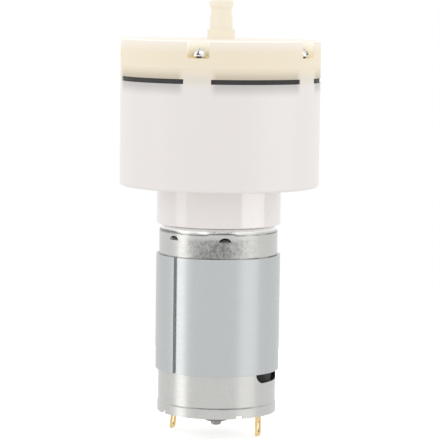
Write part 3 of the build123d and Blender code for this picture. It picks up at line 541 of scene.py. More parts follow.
@dataclass(frozen=True)
class ScrewMetal(SheetMetal):
    """Bright plated screw with painted shade in its recess and a painted dark reflection at its
    outward side.
    """

    # factor of the painted shade on the marked faces
    painted_shade: float = 0.05

    def tint(self, shader: Shader, mottle: Socket) -> Socket:
        """Mottled colour, painted dark on the faces that are marked for painted shade."""
        return self.darken(shader, shader.attribute("painted_shade"), super().tint(shader, mottle),
                          self.painted_shade)


@dataclass(frozen=True)
class ShoulderShade:
    """Painted shade on the shoulder over a magnet stop.

    It faces a direction and reaches some way to both sides of it, all in degrees, and in
    its core it is darkest. The shade is a factor on the colour of the sheet.
    """

    facing: float
    reach: float
    core: float
    height: float
    shade: float


@dataclass(frozen=True)
class ShadeLine:
    """Line of painted shade along a joint, fading out with the degrees from the front."""

    height: float
    reach: float


@dataclass(frozen=True)
class HandledSheet(SheetMetal):
    """Plated sheet with a dark streaky patch at the front, and painted shade along its joints, on
    its shoulder and in its hollows.

    A spread gives the range of a pattern, and the share at each end of that range.
    """

    patch_turn: float = -1.0
    patch_reach: float = 44.0
    patch_height: float = 20.0 * MM
    patch_rise: float = 4.1 * MM
    patch_core: float = 2.46 * MM
    patch_shade: float = 0.33
    fray: Pattern = Pattern(330.0, 5.0, 0.7, (1.0, 1.0, 1.6))
    fray_turn: float = 58.44
    fray_rise: float = 1.8 * MM
    streak: Pattern = Pattern(1.0, 6.0, 0.8, (1500.0, 1500.0, 900.0))
    streak_spread: tuple[float, ...] = (0.36, 0.6, 0.35, 1.0)
    gap: Pattern = Pattern(210.0, 3.0)
    gap_spread: tuple[float, ...] = (0.35, 0.62, 0.25, 1.0)
    # painted shade along the ring's top edge and in the rim's step
    shade_lines: tuple[ShadeLine, ...] = (ShadeLine(17.62 * MM, 900.0),
                                          ShadeLine(-27.3 * MM, 85.0))
    shade_line_reach: float = 0.35 * MM
    shade_line_factor: float = 0.28
    boss: float = -30.7 * MM
    boss_shade: float = 0.3
    hollow_depths: Pair = (0.75 * MM, 0.06 * MM)
    hollow_heights: Pair = (20.0 * MM, 24.2 * MM)
    hollow_painted_shade: float = 0.27
    # painted shade on the shoulder over two of the stops
    shoulder_shades: tuple[ShoulderShade, ...] = (ShoulderShade(3.0, 16.0, 9.0, 25.35 * MM, 0.14),
                                 ShoulderShade(-64.0, 28.0, 14.0, 25.0 * MM, 0.4))
    shoulder_shade_reach: float = 0.7 * MM
    shoulder_shade_core: float = 0.35 * MM
    shoulder_shade_line: float = 24.6 * MM
    shoulder_lift: float = 0.5 * MM
    shoulder: float = 25.85 * MM
    shoulder_reach: float = 0.85 * MM
    shoulder_core: float = 0.15 * MM
    shoulder_glow: float = 0.34

    def tint(self, shader: Shader, mottle: Socket) -> Socket:
        """Mottled colour with the dark patch, the painted shade and the darker boss on it.

        Args:
            shader: the node tree to add it to.
            mottle: the mottle from 0 to 1.

        Returns:
            The colour.
        """
        colour, height = super().tint(shader, mottle), shader.height()
        streaks = shader.spread(shader.noise(self.streak), *self.streak_spread)
        gaps = shader.spread(shader.noise(self.gap), *self.gap_spread)
        # a dark streaky patch on the front of the can
        colour = self.darken(shader, self.patch(shader, streaks), colour, self.patch_shade)
        # painted shade along the joints, strongest at the front
        for joint in self.shade_lines:
            line = shader.chain("MULTIPLY", shader.near(height, joint.height, self.shade_line_reach),
                                shader.near(shader.turn(), 0.0, math.radians(joint.reach)), gaps)
            colour = self.darken(shader, line, colour, self.shade_line_factor)
        lifted = height
        # painted shade on the shoulder over the stops, where it is pressed flat
        for shade_spot in self.shoulder_shades:
            spread = map(math.radians, (shade_spot.facing, shade_spot.reach, shade_spot.core))
            over_stop = shader.near(shader.turn(), *spread)
            lifted = shader.sums("MULTIPLY_ADD", over_stop, -self.shoulder_lift, lifted)
            band = shader.near(height, shade_spot.height, self.shoulder_shade_reach, self.shoulder_shade_core)
            share = shader.chain("MULTIPLY", over_stop, band, streaks)
            colour = self.darken(shader, share, colour, shade_spot.shade)
        # painted shade: a dark line under the shoulder's round edge, lifted over the stops
        line = shader.near(lifted, self.shoulder_shade_line, self.shade_line_reach)
        colour = self.darken(shader, shader.sums("MULTIPLY", line, gaps), colour, self.shade_line_factor)
        # painted shade in the hollows of the magnet stops
        colour = self.darken(shader, self.hollows(shader), colour, self.hollow_painted_shade)
        # darker everywhere below the boss's height
        below = shader.sums("LESS_THAN", height, self.boss)
        return self.darken(shader, below, colour, self.boss_shade)

    def patch(self, shader: Shader, streaks: Socket) -> Socket:
        """Share of the dark streaky patch at the front, which frays out at its edge.

        Args:
            shader: the node tree to add it to.
            streaks: the streaks it is made of.

        Returns:
            The share.
        """
        fray = shader.sums("SUBTRACT", shader.noise(self.fray), NOISE_MIDDLE)
        turn = shader.sums("MULTIPLY_ADD", fray, math.radians(self.fray_turn), shader.turn())
        height = shader.sums("MULTIPLY_ADD", fray, self.fray_rise, shader.height())
        across = shader.near(turn, math.radians(self.patch_turn), math.radians(self.patch_reach))
        upward = shader.near(height, self.patch_height, self.patch_rise, self.patch_core)
        return shader.chain("MULTIPLY", across, upward, streaks)

    def hollows(self, shader: Shader) -> Socket:
        """Share of painted shade that grows with the depth of the pressed hollows.

        Args:
            shader: the node tree to add it to.

        Returns:
            The share.
        """
        level = shader.between(shader.height(), *self.hollow_heights)
        deep, shallow = (CAN_RADIUS - depth for depth in self.hollow_depths)
        depth = shader.spread(shader.reach(), deep, shallow, 1.0, 0.0)
        return shader.sums("MULTIPLY", level, depth)

    def shader(self) -> Shader:
        """Build the sheet's node tree with the light that the collar throws on the shoulder.

        Returns:
            The shader.
        """
        shader = super().shader()
        lit = shader.near(shader.height(), self.shoulder, self.shoulder_reach,
                          self.shoulder_core)
        shader.set(Emission_Color=(1.0, 1.0, 1.0),
                   Emission_Strength=shader.sums("MULTIPLY", lit, self.shoulder_glow))
        return shader


@dataclass(frozen=True)
class TurnedMetal(Finish):
    """Turned or ground metal with fine rings round its axis."""

    metallic: float = 1.0
    shades: Pair = (0.86, 1.1)
    gloss_reach: Pair = (0.06, 0.08)
    rings: Pattern = Pattern(1.0, 3.0, 0.6, (80.0, 80.0, 5200.0))
    ring_depth: float = 0.002 * MM
    tarnish: Pattern = Pattern(240.0, 4.0)

    def shader(self) -> Shader:
        """Build the turned metal's node tree.

        Returns:
            The shader.
        """
        shader = super().shader()
        rings = shader.noise(self.rings)
        shader.set(Base_Color=self.mottled(shader, shader.noise(self.tarnish)),
                   Roughness=self.gloss(shader, rings),
                   Normal=shader.relief(rings, self.ring_depth))
        return shader


@dataclass(frozen=True)
class PowderPart(Finish):
    """Pressed or sintered piece: speckled and slightly rough."""

    shades: Pair = (0.75, 1.25)
    gloss_span: Pair = (0.2, 0.8)
    gloss_reach: Pair = (0.1, 0.1)
    specks: Pattern = Pattern(1800.0, 4.0, 0.7)
    speck_span: Pair = (0.35, 0.65)
    pit_depth: float = 0.02 * MM

    def shader(self) -> Shader:
        """Build the pressed piece's node tree.

        Returns:
            The shader.
        """
        shader = super().shader()
        specks = shader.noise(self.specks)
        shader.set(Base_Color=self.mottled(shader, shader.spread(specks, *self.speck_span)),
                   Roughness=self.gloss(shader, specks),
                   Normal=shader.relief(shader.cells(self.specks.scale), self.pit_depth))
        return shader


@dataclass(frozen=True)
class SoftRubber(Finish):
    """Moulded rubber with a matt bloom and a fine skin."""

    shades: Pair = (0.65, 1.35)
    gloss_reach: Pair = (0.08, 0.1)
    bloom: Pattern = Pattern(420.0, 5.0, 0.6)
    skin: Pattern = Pattern(2400.0, 3.0)
    skin_depth: float = 0.006 * MM

    def shader(self) -> Shader:
        """Build the rubber's node tree.

        Returns:
            The shader.
        """
        shader = super().shader()
        bloom = shader.noise(self.bloom)
        shader.set(Base_Color=self.mottled(shader, bloom), Roughness=self.gloss(shader, bloom),
                   Normal=shader.relief(shader.noise(self.skin), self.skin_depth))
        return shader


@dataclass(frozen=True)
class LaminatedSteel(Finish):
    """Stack of punched sheets: thin dark lines between bright cut edges."""

    metallic: float = 1.0
    shades: Pair = (0.75, 1.15)
    tarnish: Pattern = Pattern(300.0, 4.0)
    sheet: float = 0.5 * MM
    waver: float = 0.4
    seam_span: Pair = (0.05, 0.35)
    seam_shade: float = 0.2
    seam_depth: float = 0.04 * MM

    def shader(self) -> Shader:
        """Build the stack's node tree.

        Returns:
            The shader.
        """
        shader = super().shader()
        layers = shader.bands(BAND_STEP / self.sheet, "Z", self.waver)
        edges = shader.spread(layers, *self.seam_span)
        bright = self.mottled(shader, shader.noise(self.tarnish))
        shader.set(Base_Color=shader.blend(edges, self.shade(self.seam_shade), bright),
                   Normal=shader.relief(edges, self.seam_depth))
        return shader


PLATED_CAN = HandledSheet("plated_steel", (0.56, 0.556, 0.54), 0.28, shades=(0.982, 1.018),
                          gloss_reach=(0.04, 0.04), wave_depth=0.0045 * MM, scratch=0.001 * MM)
RING_STEEL = SheetMetal("ring_steel", (0.51, 0.53, 0.53), 0.3, shades=(0.99, 1.01),
                        gloss_reach=(0.03, 0.03), mottle=Pattern(900.0, 6.0, 0.65),
                        wave_depth=0.002 * MM, scratch=0.0005 * MM)
SPRING_STEEL = SheetMetal("spring_steel", (0.50, 0.50, 0.50), 0.32)
TERMINAL_BRASS = SheetMetal("terminal_brass", (0.76, 0.56, 0.24), 0.30, shades=(0.82, 1.18),
                            mottle=Pattern(700.0, 6.0, 0.65),
                            lines=Pattern(1.0, 5.0, 0.6, (1500.0, 1500.0, 120.0)))
BRIGHT_SCREW = ScrewMetal("bright_screw", (0.74, 0.73, 0.70), 0.14, shades=(0.94, 1.06),
                          mottle=Pattern(1500.0, 6.0, 0.65), wave_depth=0.0)
GROUND_STEEL = TurnedMetal("ground_steel", (0.27, 0.262, 0.25), 0.24)
BRONZE = PowderPart("sintered_bronze", (0.42, 0.29, 0.15), 0.5, metallic=1.0)
COPPER_BARS = TurnedMetal("commutator_copper", (0.78, 0.40, 0.24), 0.28)
COPPER_WIRE = TurnedMetal("copper_wire", (0.62, 0.24, 0.10), 0.25)
FERRITE = PowderPart("ferrite", (0.07, 0.07, 0.075), 0.55)
CARBON = PowderPart("carbon", (0.03, 0.03, 0.032), 0.5)
BLACK_CARD = MouldedPlastic("black_plastic", (0.009, 0.009, 0.009), 0.45, specular=0.15)
NYLON = MouldedPlastic("insulator_plastic", (0.75, 0.74, 0.68), 0.5)
CORE_STACK = LaminatedSteel("core_steel", (0.36, 0.36, 0.37), 0.45)
BLACK_RUBBER = SoftRubber("black_rubber", linear(40, 39, 38), 0.6)
VALVE_RUBBER = SoftRubber("valve_rubber", (0.06, 0.06, 0.06), 0.6)
CREAM = CoverPlastic("cream_plastic", linear(243, 231, 208), 0.48, shades=(0.988, 1.012),
                     specular=0.25, edge=70.8 * MM, fade=3.8 * MM, slit_painted_shade=0.65)
WHITE = HousingPlastic("white_plastic", linear(237, 232, 229), 0.3, shades=(0.994, 1.006),
                       specular=0.14, fade=4.2 * MM, slit_painted_shade=0.68)

FINISHES = (PLATED_CAN, RING_STEEL, SPRING_STEEL, TERMINAL_BRASS, BRIGHT_SCREW, GROUND_STEEL,
            BRONZE, COPPER_BARS, COPPER_WIRE, FERRITE, CARBON, BLACK_CARD, NYLON, CORE_STACK,
            BLACK_RUBBER, VALVE_RUBBER, CREAM, WHITE)


def dress_nodes(finishes: Iterable[Finish]) -> int:
    """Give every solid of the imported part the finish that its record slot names.

    Args:
        finishes: one finish for each slot.

    Returns:
        How many solids were dressed.
    """
    by_slot = {finish.slot: finish for finish in finishes}
    rows = frame["record"]["subparts"]
    for row in rows:
        by_slot[row["material_slot"]].paint(frame["nodes"][row["node"]])
    return len(rows)


class Join(Enum):
    """What a boolean does with the other piece."""

    CUT = "DIFFERENCE"
    ADD = "UNION"
    KEEP = "INTERSECT"


class Sides(IntEnum):
    """Corners of a circle, fewer as it gets smaller."""

    BODY = 192
    NOZZLE = 96
    TOOL = 64
    SCREW = 48
    HOLE = 32


class Workpiece:
    """A piece under way: a primitive that Blender's own tools shape step by step."""

    def __init__(self, body: bpy.types.Object) -> None:
        """Take on a mesh object that stands at the origin."""
        self.body = body

    @staticmethod
    def weld() -> None:
        """Pick the whole mesh in edit mode, and merge its doubled points."""
        bpy.ops.mesh.select_all(action="SELECT")
        bpy.ops.mesh.remove_doubles(threshold=TOUCH)

    @classmethod
    def add(cls, name: str, primitive: Callable[..., object], **settings: object) -> "Workpiece":
        """Add a primitive at its size and place.

        Args:
            name: name of the piece.
            primitive: operator that adds it.
            settings: the operator's settings.

        Returns:
            The new piece.
        """
        bpy.ops.object.select_all(action="DESELECT")
        primitive(**settings)
        body = bpy.context.active_object
        body.name = body.data.name = name
        bpy.ops.object.transform_apply(location=True, rotation=True, scale=True)
        return cls(body)

    @classmethod
    def of_node(cls, node: str, name: str) -> "Workpiece":
        """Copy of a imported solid, its doubled points merged.

        Args:
            node: the solid.
            name: name of the copy.

        Returns:
            The copy.
        """
        piece = Workpiece(frame["nodes"][node]).copy()
        piece.body.name = piece.body.data.name = name
        with piece.editing():
            cls.weld()
            bpy.ops.mesh.dissolve_limited(angle_limit=math.radians(FLAT_ANGLE))
        return piece

    @classmethod
    def disc(cls, name: str, radius: float, bottom: float, top: float,
             ahead: float = 0.0, sides: int = Sides.BODY) -> "Workpiece":
        """Upright round block.

        Args:
            name: name of the piece.
            radius: its radius.
            bottom: height of its foot.
            top: height of its head.
            ahead: how far in front of the motor axis it stands.
            sides: corners of its circle.

        Returns:
            The new piece.
        """
        return cls.add(name, bpy.ops.mesh.primitive_cylinder_add, vertices=sides, radius=radius,
                       depth=top - bottom, location=(0.0, -ahead, (bottom + top) / 2))

    @classmethod
    def block(cls, name: str, width: float, depth: Pair, height: Pair) -> "Workpiece":
        """Square block across the front of the motor axis.

        Args:
            name: name of the piece.
            width: its size along X, half of it on each side.
            depth: where it starts and ends along Y.
            height: where it starts and ends along Z.

        Returns:
            The new piece.
        """
        low, high = (Vector(corner) for corner in zip((-width / 2, width / 2), depth, height))
        return cls.add(name, bpy.ops.mesh.primitive_cube_add, size=1.0, location=(low + high) / 2,
                       scale=high - low)

    @classmethod
    def drawn(cls, name: str, stations: Sequence[Pair], sides: int = Sides.BODY,
              hollow: bool = False) -> "Workpiece":
        """Round piece drawn from a circle through stations along its outline.

        Args:
            name: name of the piece.
            stations: radius and height of each circle on the way.
            sides: corners of each circle.
            hollow: whether the outline closes on itself round a hole; otherwise the first
                and last circles are filled.

        Returns:
            The new piece.
        """
        radius, height = stations[0]
        piece = cls.add(name, bpy.ops.mesh.primitive_circle_add, vertices=sides, radius=radius,
                        location=(0.0, 0.0, height))
        route = [*stations, stations[0]] if hollow else stations
        with piece.editing():
            bpy.ops.mesh.select_all(action="SELECT")
            for (radius, height), (wider, higher) in zip(route, route[1:]):
                bpy.ops.mesh.extrude_region_move(
                    TRANSFORM_OT_translate={"value": (0.0, 0.0, higher - height)})
                bpy.ops.transform.resize(value=(wider / radius, wider / radius, 1.0),
                                         center_override=(0.0, 0.0, higher))
            cls.weld()
            if not hollow:
                bpy.ops.mesh.fill_holes(sides=0)
            bpy.ops.mesh.normals_make_consistent(inside=False)
        return piece

    def select(self) -> None:
        """Select this piece alone and make it active."""
        bpy.ops.object.select_all(action="DESELECT")
        self.body.select_set(True)
        bpy.context.view_layer.objects.active = self.body

    @contextmanager
    def editing(self) -> Iterator[bmesh.types.BMesh]:
        """Edit mode on this piece alone, with nothing picked.

        Yields:
            Its edit mesh.
        """
        self.select()
        bpy.ops.object.mode_set(mode="EDIT")
        bpy.ops.mesh.select_mode(type="VERT")
        bpy.ops.mesh.select_all(action="DESELECT")
        yield bmesh.from_edit_mesh(self.body.data)
        bpy.ops.object.mode_set(mode="OBJECT")

    def pick(self, mesh: bmesh.types.BMesh, wanted: Callable[[Vector], bool]) -> None:
        """Pick the points that a test wants, and the edges and faces that they span.

        Args:
            mesh: the edit mesh.
            wanted: test of a point.
        """
        for point in mesh.verts:
            point.select = wanted(point.co)
        mesh.select_flush_mode()
        bmesh.update_edit_mesh(self.body.data)

    def round_ring(self, radius: float, height: float, width: float, segments: int = 4) -> None:
        """Round an edge that runs round the axis.

        Args:
            radius: its radius.
            height: its height.
            width: how far the rounding reaches.
            segments: faces across it.
        """
        with self.editing() as mesh:
            self.pick(mesh, lambda point: abs(math.hypot(point.x, point.y) - radius) < TOUCH
                      and abs(point.z - height) < TOUCH)
            bpy.ops.mesh.bevel(offset=width, segments=segments, affect="EDGES")

    def move(self, wanted: Callable[[Vector], bool], step: tuple[float, float, float]) -> None:
        """Shift the points that a test wants.

        Args:
            wanted: test of a point.
            step: how far they go.
        """
        with self.editing() as mesh:
            self.pick(mesh, wanted)
            bpy.ops.transform.translate(value=step)

    def copy(self, angle: float = 0.0) -> "Workpiece":
        """Copy with its own mesh, turned about the motor axis.

        Args:
            angle: degrees from the front towards +X.

        Returns:
            The copy.
        """
        self.select()
        bpy.ops.object.duplicate(linked=False)
        piece = Workpiece(bpy.context.active_object)
        piece.body.matrix_world = Matrix.Rotation(math.radians(angle), 4, "Z")
        bpy.ops.object.transform_apply(location=True, rotation=True, scale=True)
        return piece

    def drill(self, circle: float, radius: float, bottom: float, top: float,
              angles: Iterable[float]) -> None:
        """Cut upright round holes that stand on a circle round the motor axis.

        Args:
            circle: radius of the circle.
            radius: radius of a hole.
            bottom: height at which the holes start.
            top: height at which they end.
            angles: where they stand on the circle.
        """
        hole = Workpiece.disc("hole_tool", radius, bottom, top, circle, Sides.HOLE)
        self.join(Join.CUT, *hole.ring_of(angles))

    def ring_of(self, angles: Iterable[float]) -> list["Workpiece"]:
        """One copy at each angle, with the first piece used up."""
        copies = [self.copy(angle) for angle in angles]
        self.discard()
        return copies

    def discard(self) -> None:
        """Remove the piece and its mesh."""
        mesh = self.body.data
        bpy.data.objects.remove(self.body)
        bpy.data.meshes.remove(mesh)

    def apply(self, kind: str, **settings: object) -> None:
        """Add a modifier, set it and apply it.

        Args:
            kind: Blender's name of the modifier type.
            settings: its settings.
        """
        modifier = self.body.modifiers.new(kind.lower(), kind)
        for key, value in settings.items():
            setattr(modifier, key, value)
        self.select()
        bpy.ops.object.modifier_apply(modifier=modifier.name)

    def join(self, how: Join, *others: "Workpiece") -> None:
        """Cut, add or keep what other pieces cover, and use those up."""
        for other in others:
            self.apply("BOOLEAN", operation=how.value, solver="EXACT", object=other.body)
            other.discard()

    def soften(self, width: float, segments: int = 2, angle: float = 35.0) -> None:
        """Round every edge that is sharper than an angle in degrees."""
        self.apply("BEVEL", width=width, segments=segments, limit_method="ANGLE",
                   angle_limit=math.radians(angle), miter_outer="MITER_ARC")

    def hand_over(self, finish: Finish, *nodes: str) -> None:
        """Smooth and paint the finished piece, and let it ride on the pump's case.

        Args:
            finish: its finish.
            nodes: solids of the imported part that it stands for.
        """
        self.select()
        bpy.ops.object.shade_smooth_by_angle(angle=math.radians(SMOOTH_ANGLE))
        self.apply("WEIGHTED_NORMAL", keep_sharp=True)
        finish.paint(self.body)
        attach(self.body, CASE_BODY)
        if nodes:
            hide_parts(*nodes)
        log.info("%s has %d faces", self.body.name, len(self.body.data.polygons))


@dataclass(frozen=True)
class HeadPlan:
    """Sizes that the cover, the housing and the diaphragm share."""

    radius: float = 30.1 * MM
    posts: int = 5
    post_angle: float = -12.6
    post_circle: float = 27.3 * MM
    post_half: float = 4.12 * MM
    post_turn: float = -0.5
    slit: float = 1.4 * MM
    margin: float = 2.0 * MM

    def screw_angles(self) -> list[float]:
        """Degrees from the front towards +X at which the cover screws stand."""
        return [self.post_angle + 360 / self.posts * step for step in range(self.posts)]

    def post_angles(self) -> list[float]:
        """Degrees of the posts, which stand a little round from their screws."""
        return [angle + self.post_turn for angle in self.screw_angles()]

    def cup_angles(self) -> list[float]:
        """Degrees half way between the screws."""
        return [angle + 180 / self.posts for angle in self.screw_angles()]

    def slot_tool(self, name: str, half: float, bottom: float, top: float,
                  reach: float | None = None) -> Workpiece:
        """Upright at the front of the screw circle, round inside and straight on outwards.

        Args:
            name: name of the tool.
            half: half its width.
            bottom: height of its foot.
            top: height of its head.
            reach: radius it runs out to, or past the head if left out.

        Returns:
            The tool.
        """
        tool = Workpiece.disc(name, half, bottom, top, self.post_circle, Sides.TOOL)
        past = (reach or self.radius + self.margin) - self.post_circle
        tool.move(lambda point: point.y < -self.post_circle - TOUCH, (0.0, -half, 0.0))
        with tool.editing() as mesh:
            tool.pick(mesh, lambda point: point.y < -self.post_circle - half + TOUCH)
            bpy.ops.transform.resize(value=(1.0, 0.0, 1.0),
                                     center_override=(0.0, -self.post_circle - past, 0.0))
        return tool


@dataclass(frozen=True)
class MotorPlan:
    """Sizes that the motor can and the housing share."""

    screw_circle: float = 12.5 * MM
    screw_hole: float = 1.55 * MM
    screw_angle: float = 66.5

    def screw_angles(self) -> Pair:
        """Degrees of the two motor screws, which stand over the brush windows."""
        return self.screw_angle, self.screw_angle + 180.0


@dataclass(frozen=True)
class HeadCover:
    """Cream cover with five open screw pockets and the hose nozzle.

    The nozzle's base, barrel and neck are each given by a radius and a length.
    """

    plan: HeadPlan
    height: float = 8.3 * MM
    edge: float = 0.5 * MM
    pocket_half: float = 3.3 * MM
    pocket_depth: float = 5.0 * MM
    pocket_corner: float = 0.35 * MM
    screw_hole: float = 1.35 * MM
    bore: float = 2.0 * MM
    bore_depth: float = 6.0 * MM
    base: Pair = (4.15 * MM, 3.0 * MM)
    barrel: Pair = (3.4 * MM, 4.3 * MM)
    neck: Pair = (3.1 * MM, 2.3 * MM)
    lip: float = 3.55 * MM
    lip_edge: float = 0.5 * MM
    softness: float = 0.15 * MM

    def build(self) -> None:
        """Turn the cover, cut its pockets and holes, and set the nozzle on it."""
        low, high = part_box("head_cover")
        roof = low.z + self.height
        cover = Workpiece.disc("cover_shell", self.plan.radius, low.z, roof)
        cover.round_ring(self.plan.radius, roof, self.edge)
        floor = roof - self.pocket_depth
        pocket = self.plan.slot_tool("pocket_tool", self.pocket_half, floor, roof + self.edge)
        pocket.soften(self.pocket_corner, ROUND_STEPS)
        cover.join(Join.CUT, *pocket.ring_of(self.plan.screw_angles()))
        cover.drill(self.plan.post_circle, self.screw_hole, low.z - self.edge, roof,
                    self.plan.screw_angles())
        cover.join(Join.ADD, self.nozzle(roof, high.z))
        cover.join(Join.CUT, Workpiece.disc("bore_tool", self.bore, roof - self.bore_depth,
                                            high.z + self.edge, sides=Sides.TOOL))
        cover.soften(self.softness)
        cover.hand_over(CREAM, "head_cover")

    def nozzle(self, roof: float, top: float) -> Workpiece:
        """Stepped nozzle with a chamfered lip.

        Args:
            roof: height of the cover's roof.
            top: height of the lip's face.

        Returns:
            The nozzle, sunk a little into the roof.
        """
        stations = [(self.base[0], roof - self.edge)]
        height = roof
        steps = (self.base, self.barrel, self.neck)
        for (radius, length), after in zip(steps, (self.barrel[0], self.neck[0], self.lip)):
            height += length
            stations += [(radius, height), (after, height)]
        stations += [(self.lip, top - self.lip_edge), (self.lip - self.lip_edge, top)]
        return Workpiece.drawn("nozzle_tool", stations, Sides.NOZZLE)


@dataclass(frozen=True)
class CoverScrews:
    """Cross-recessed pan head screws of the cover, with their threads."""

    plan: HeadPlan
    head: float = 2.4 * MM
    head_height: float = 2.3 * MM
    rim: float = 0.36 * MM
    groove: float = 0.04 * MM
    dome_steps: int = 8
    neck: float = 1.6 * MM
    neck_length: float = 0.6 * MM
    crest: float = 1.3 * MM
    root: float = 1.05 * MM
    pitch: float = 0.9 * MM
    tip: float = 0.5 * MM
    recess: float = 2.9 * MM
    recess_width: float = 0.8 * MM
    recess_depth: float = 1.2 * MM
    recess_taper: float = 0.5
    recess_turn: float = 8.0
    recess_rim: float = 0.8
    # painted dark reflection and shade at the outward side of each head
    outward_shade_width: float = 0.72 * MM
    outward_shade_rise: float = 1.15 * MM
    softness: float = 0.05 * MM
    soft_angle: float = 50.0
    outward_painted_shade: float = 0.9

    def build(self) -> None:
        """Model one screw on the axis, and copy it to every post."""
        low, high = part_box("cover_screws")
        screw = Workpiece.drawn("cover_screw", self.outline(low.z, high.z), Sides.SCREW)
        screw.join(Join.CUT, *self.recess_tools(high.z))
        screw.soften(self.softness, angle=self.soft_angle)
        self.mark_painted_shade(screw, high.z)
        screw.move(lambda point: True, (0.0, -self.plan.post_circle, 0.0))
        for number, each in enumerate(screw.ring_of(self.plan.screw_angles()), 1):
            each.body.name = f"cover_screw_{number}"
            each.hand_over(BRIGHT_SCREW, *(["cover_screws"] if number == 1 else []))

    def spring(self, top: float) -> float:
        """Height at which the dome starts, below the head's top."""
        return top - self.head_height + self.rim + self.groove

    def dome(self, top: float, radius: float) -> float:
        """Height of the dome at a distance from the screw's axis."""
        share = min(1.0, radius / (self.head - self.groove))
        return self.spring(top) + (top - self.spring(top)) * math.sqrt(1 - share ** 2)

    def outline(self, tip: float, top: float) -> list[Pair]:
        """Stations of the screw's outline from its tip to the top of its dome.

        Args:
            tip: height of its lower end.
            top: height of its head's top.

        Returns:
            Radius and height of each station.
        """
        under = top - self.head_height
        foot = under - self.neck_length
        stations = [(self.tip, tip)]
        height = tip + self.pitch
        while height + self.pitch < foot:
            stations += [(self.root, height), (self.crest, height + self.pitch / 2)]
            height += self.pitch
        stations += [(self.crest, foot), (self.neck, foot), (self.neck, under),
                     (self.head, under), (self.head, under + self.rim)]
        inner, spring = self.head - self.groove, self.spring(top)
        stations += [(inner, under + self.rim), (inner, spring)]
        for step in range(1, self.dome_steps):
            lift = math.radians(90 * step / self.dome_steps)
            stations.append((inner * math.cos(lift), spring + (top - spring) * math.sin(lift)))
        return [*stations, (stations[-1][0] / 2, top)]

    def recess_tools(self, top: float) -> list[Workpiece]:
        """Two crossed bars, narrower at their foot, for the recess in the head.

        Args:
            top: height of the head's top.

        Returns:
            The bars.
        """
        bar = Workpiece.block("recess_tool", self.recess_width, (-self.recess / 2, self.recess / 2),
                              (top - self.recess_depth, top + self.tip))
        with bar.editing() as mesh:
            bar.pick(mesh, lambda point: point.z < top)
            bpy.ops.transform.resize(value=(self.recess_taper, 1.0, 1.0),
                                     center_override=(0.0, 0.0, top))
        return bar.ring_of((self.recess_turn, self.recess_turn + 90.0))

    def mark_painted_shade(self, screw: Workpiece, top: float) -> None:
        """Mark the faces that get painted shade: the recess, and a painted dark reflection and
        shade at the outward side.

        Args:
            screw: the screw, on the motor axis.
            top: height of its head's top.
        """
        under, spring = top - self.head_height, self.spring(top)
        painted_shade = screw.body.data.attributes.new("painted_shade", "FLOAT", "FACE")
        for face, value in zip(screw.body.data.polygons, painted_shade.data):
            place = face.center
            radius = math.hypot(place.x, place.y)
            reach = self.outward_shade_width * (1 - max(0.0, place.z - spring) / self.outward_shade_rise)
            outward = place.y < 0 and abs(place.x) < reach
            in_recess = radius < self.recess_rim * (self.head - self.groove)
            # painted dark reflection on the dome's outward side, and painted shade under the head
            # there
            if outward and not under + self.softness <= place.z <= spring:
                value.value = self.outward_painted_shade
            # painted shade in the recess
            elif in_recess and spring < place.z < self.dome(top, radius) - self.softness:
                value.value = 1.0


@dataclass(frozen=True)
class PumpHousing:
    """White housing: collar on the motor, head, screw posts and the slits between them."""

    plan: HeadPlan
    motor: MotorPlan
    collar: float = 18.8 * MM
    collar_bore: float = 16.8 * MM
    collar_length: float = 11.5 * MM
    collar_floor: float = 3.0 * MM
    boss_hole: float = 6.55 * MM
    wall: float = 2.2 * MM
    floor: float = 2.0 * MM
    head_edge: float = 0.8 * MM
    collar_edge: float = 0.35 * MM
    fillet: float = 0.5 * MM
    vent_circle: float = 23.35 * MM
    vent_radius: float = 1.5 * MM
    softness: float = 0.12 * MM

    def build(self) -> None:
        """Draw the hollow body, add the posts, and cut the slits and vents."""
        low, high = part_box("pump_housing")
        head = low.z + self.collar_length
        slit = high.z - self.plan.slit
        bore = self.plan.radius - self.wall
        body = Workpiece.drawn("housing_body", [
            (self.collar, low.z), (self.collar, head), (self.plan.radius, head),
            (self.plan.radius, high.z), (bore, high.z), (bore, head + self.floor),
            (self.collar_bore, head + self.floor), (self.collar_bore, low.z + self.collar_floor),
            (self.boss_hole, low.z + self.collar_floor), (self.boss_hole, low.z)], hollow=True)
        body.round_ring(self.plan.radius, head, self.head_edge)
        body.round_ring(self.collar, low.z, self.collar_edge)
        body.round_ring(self.collar, head, self.fillet)
        post = self.plan.slot_tool("post_tool", self.plan.post_half - self.softness,
                                   head + self.floor / 2, high.z, bore + self.wall / 2)
        body.join(Join.ADD, *post.ring_of(self.plan.post_angles()))
        body.join(Join.CUT, self.slit_tool(slit, high.z))
        body.drill(self.vent_circle, self.vent_radius, head - self.floor, head + 2 * self.floor,
                   self.plan.cup_angles())
        body.drill(self.motor.screw_circle, self.motor.screw_hole, low.z - self.floor,
                   low.z + self.collar_floor + self.floor, self.motor.screw_angles())
        body.soften(self.softness)
        body.hand_over(WHITE, "pump_housing")

    def slit_tool(self, bottom: float, top: float) -> Workpiece:
        """What leaves the slits open: a thick disc, less the posts.

        Args:
            bottom: height of the slits' foot.
            top: height of the housing's top.

        Returns:
            The tool.
        """
        reach = self.plan.radius + self.plan.margin
        tool = Workpiece.disc("slit_tool", reach, bottom, top + self.plan.margin)
        post = self.plan.slot_tool("gap_tool", self.plan.post_half, bottom - self.plan.margin,
                                   top + 2 * self.plan.margin, reach + self.plan.margin)
        tool.join(Join.CUT, *post.ring_of(self.plan.post_angles()))
        return tool


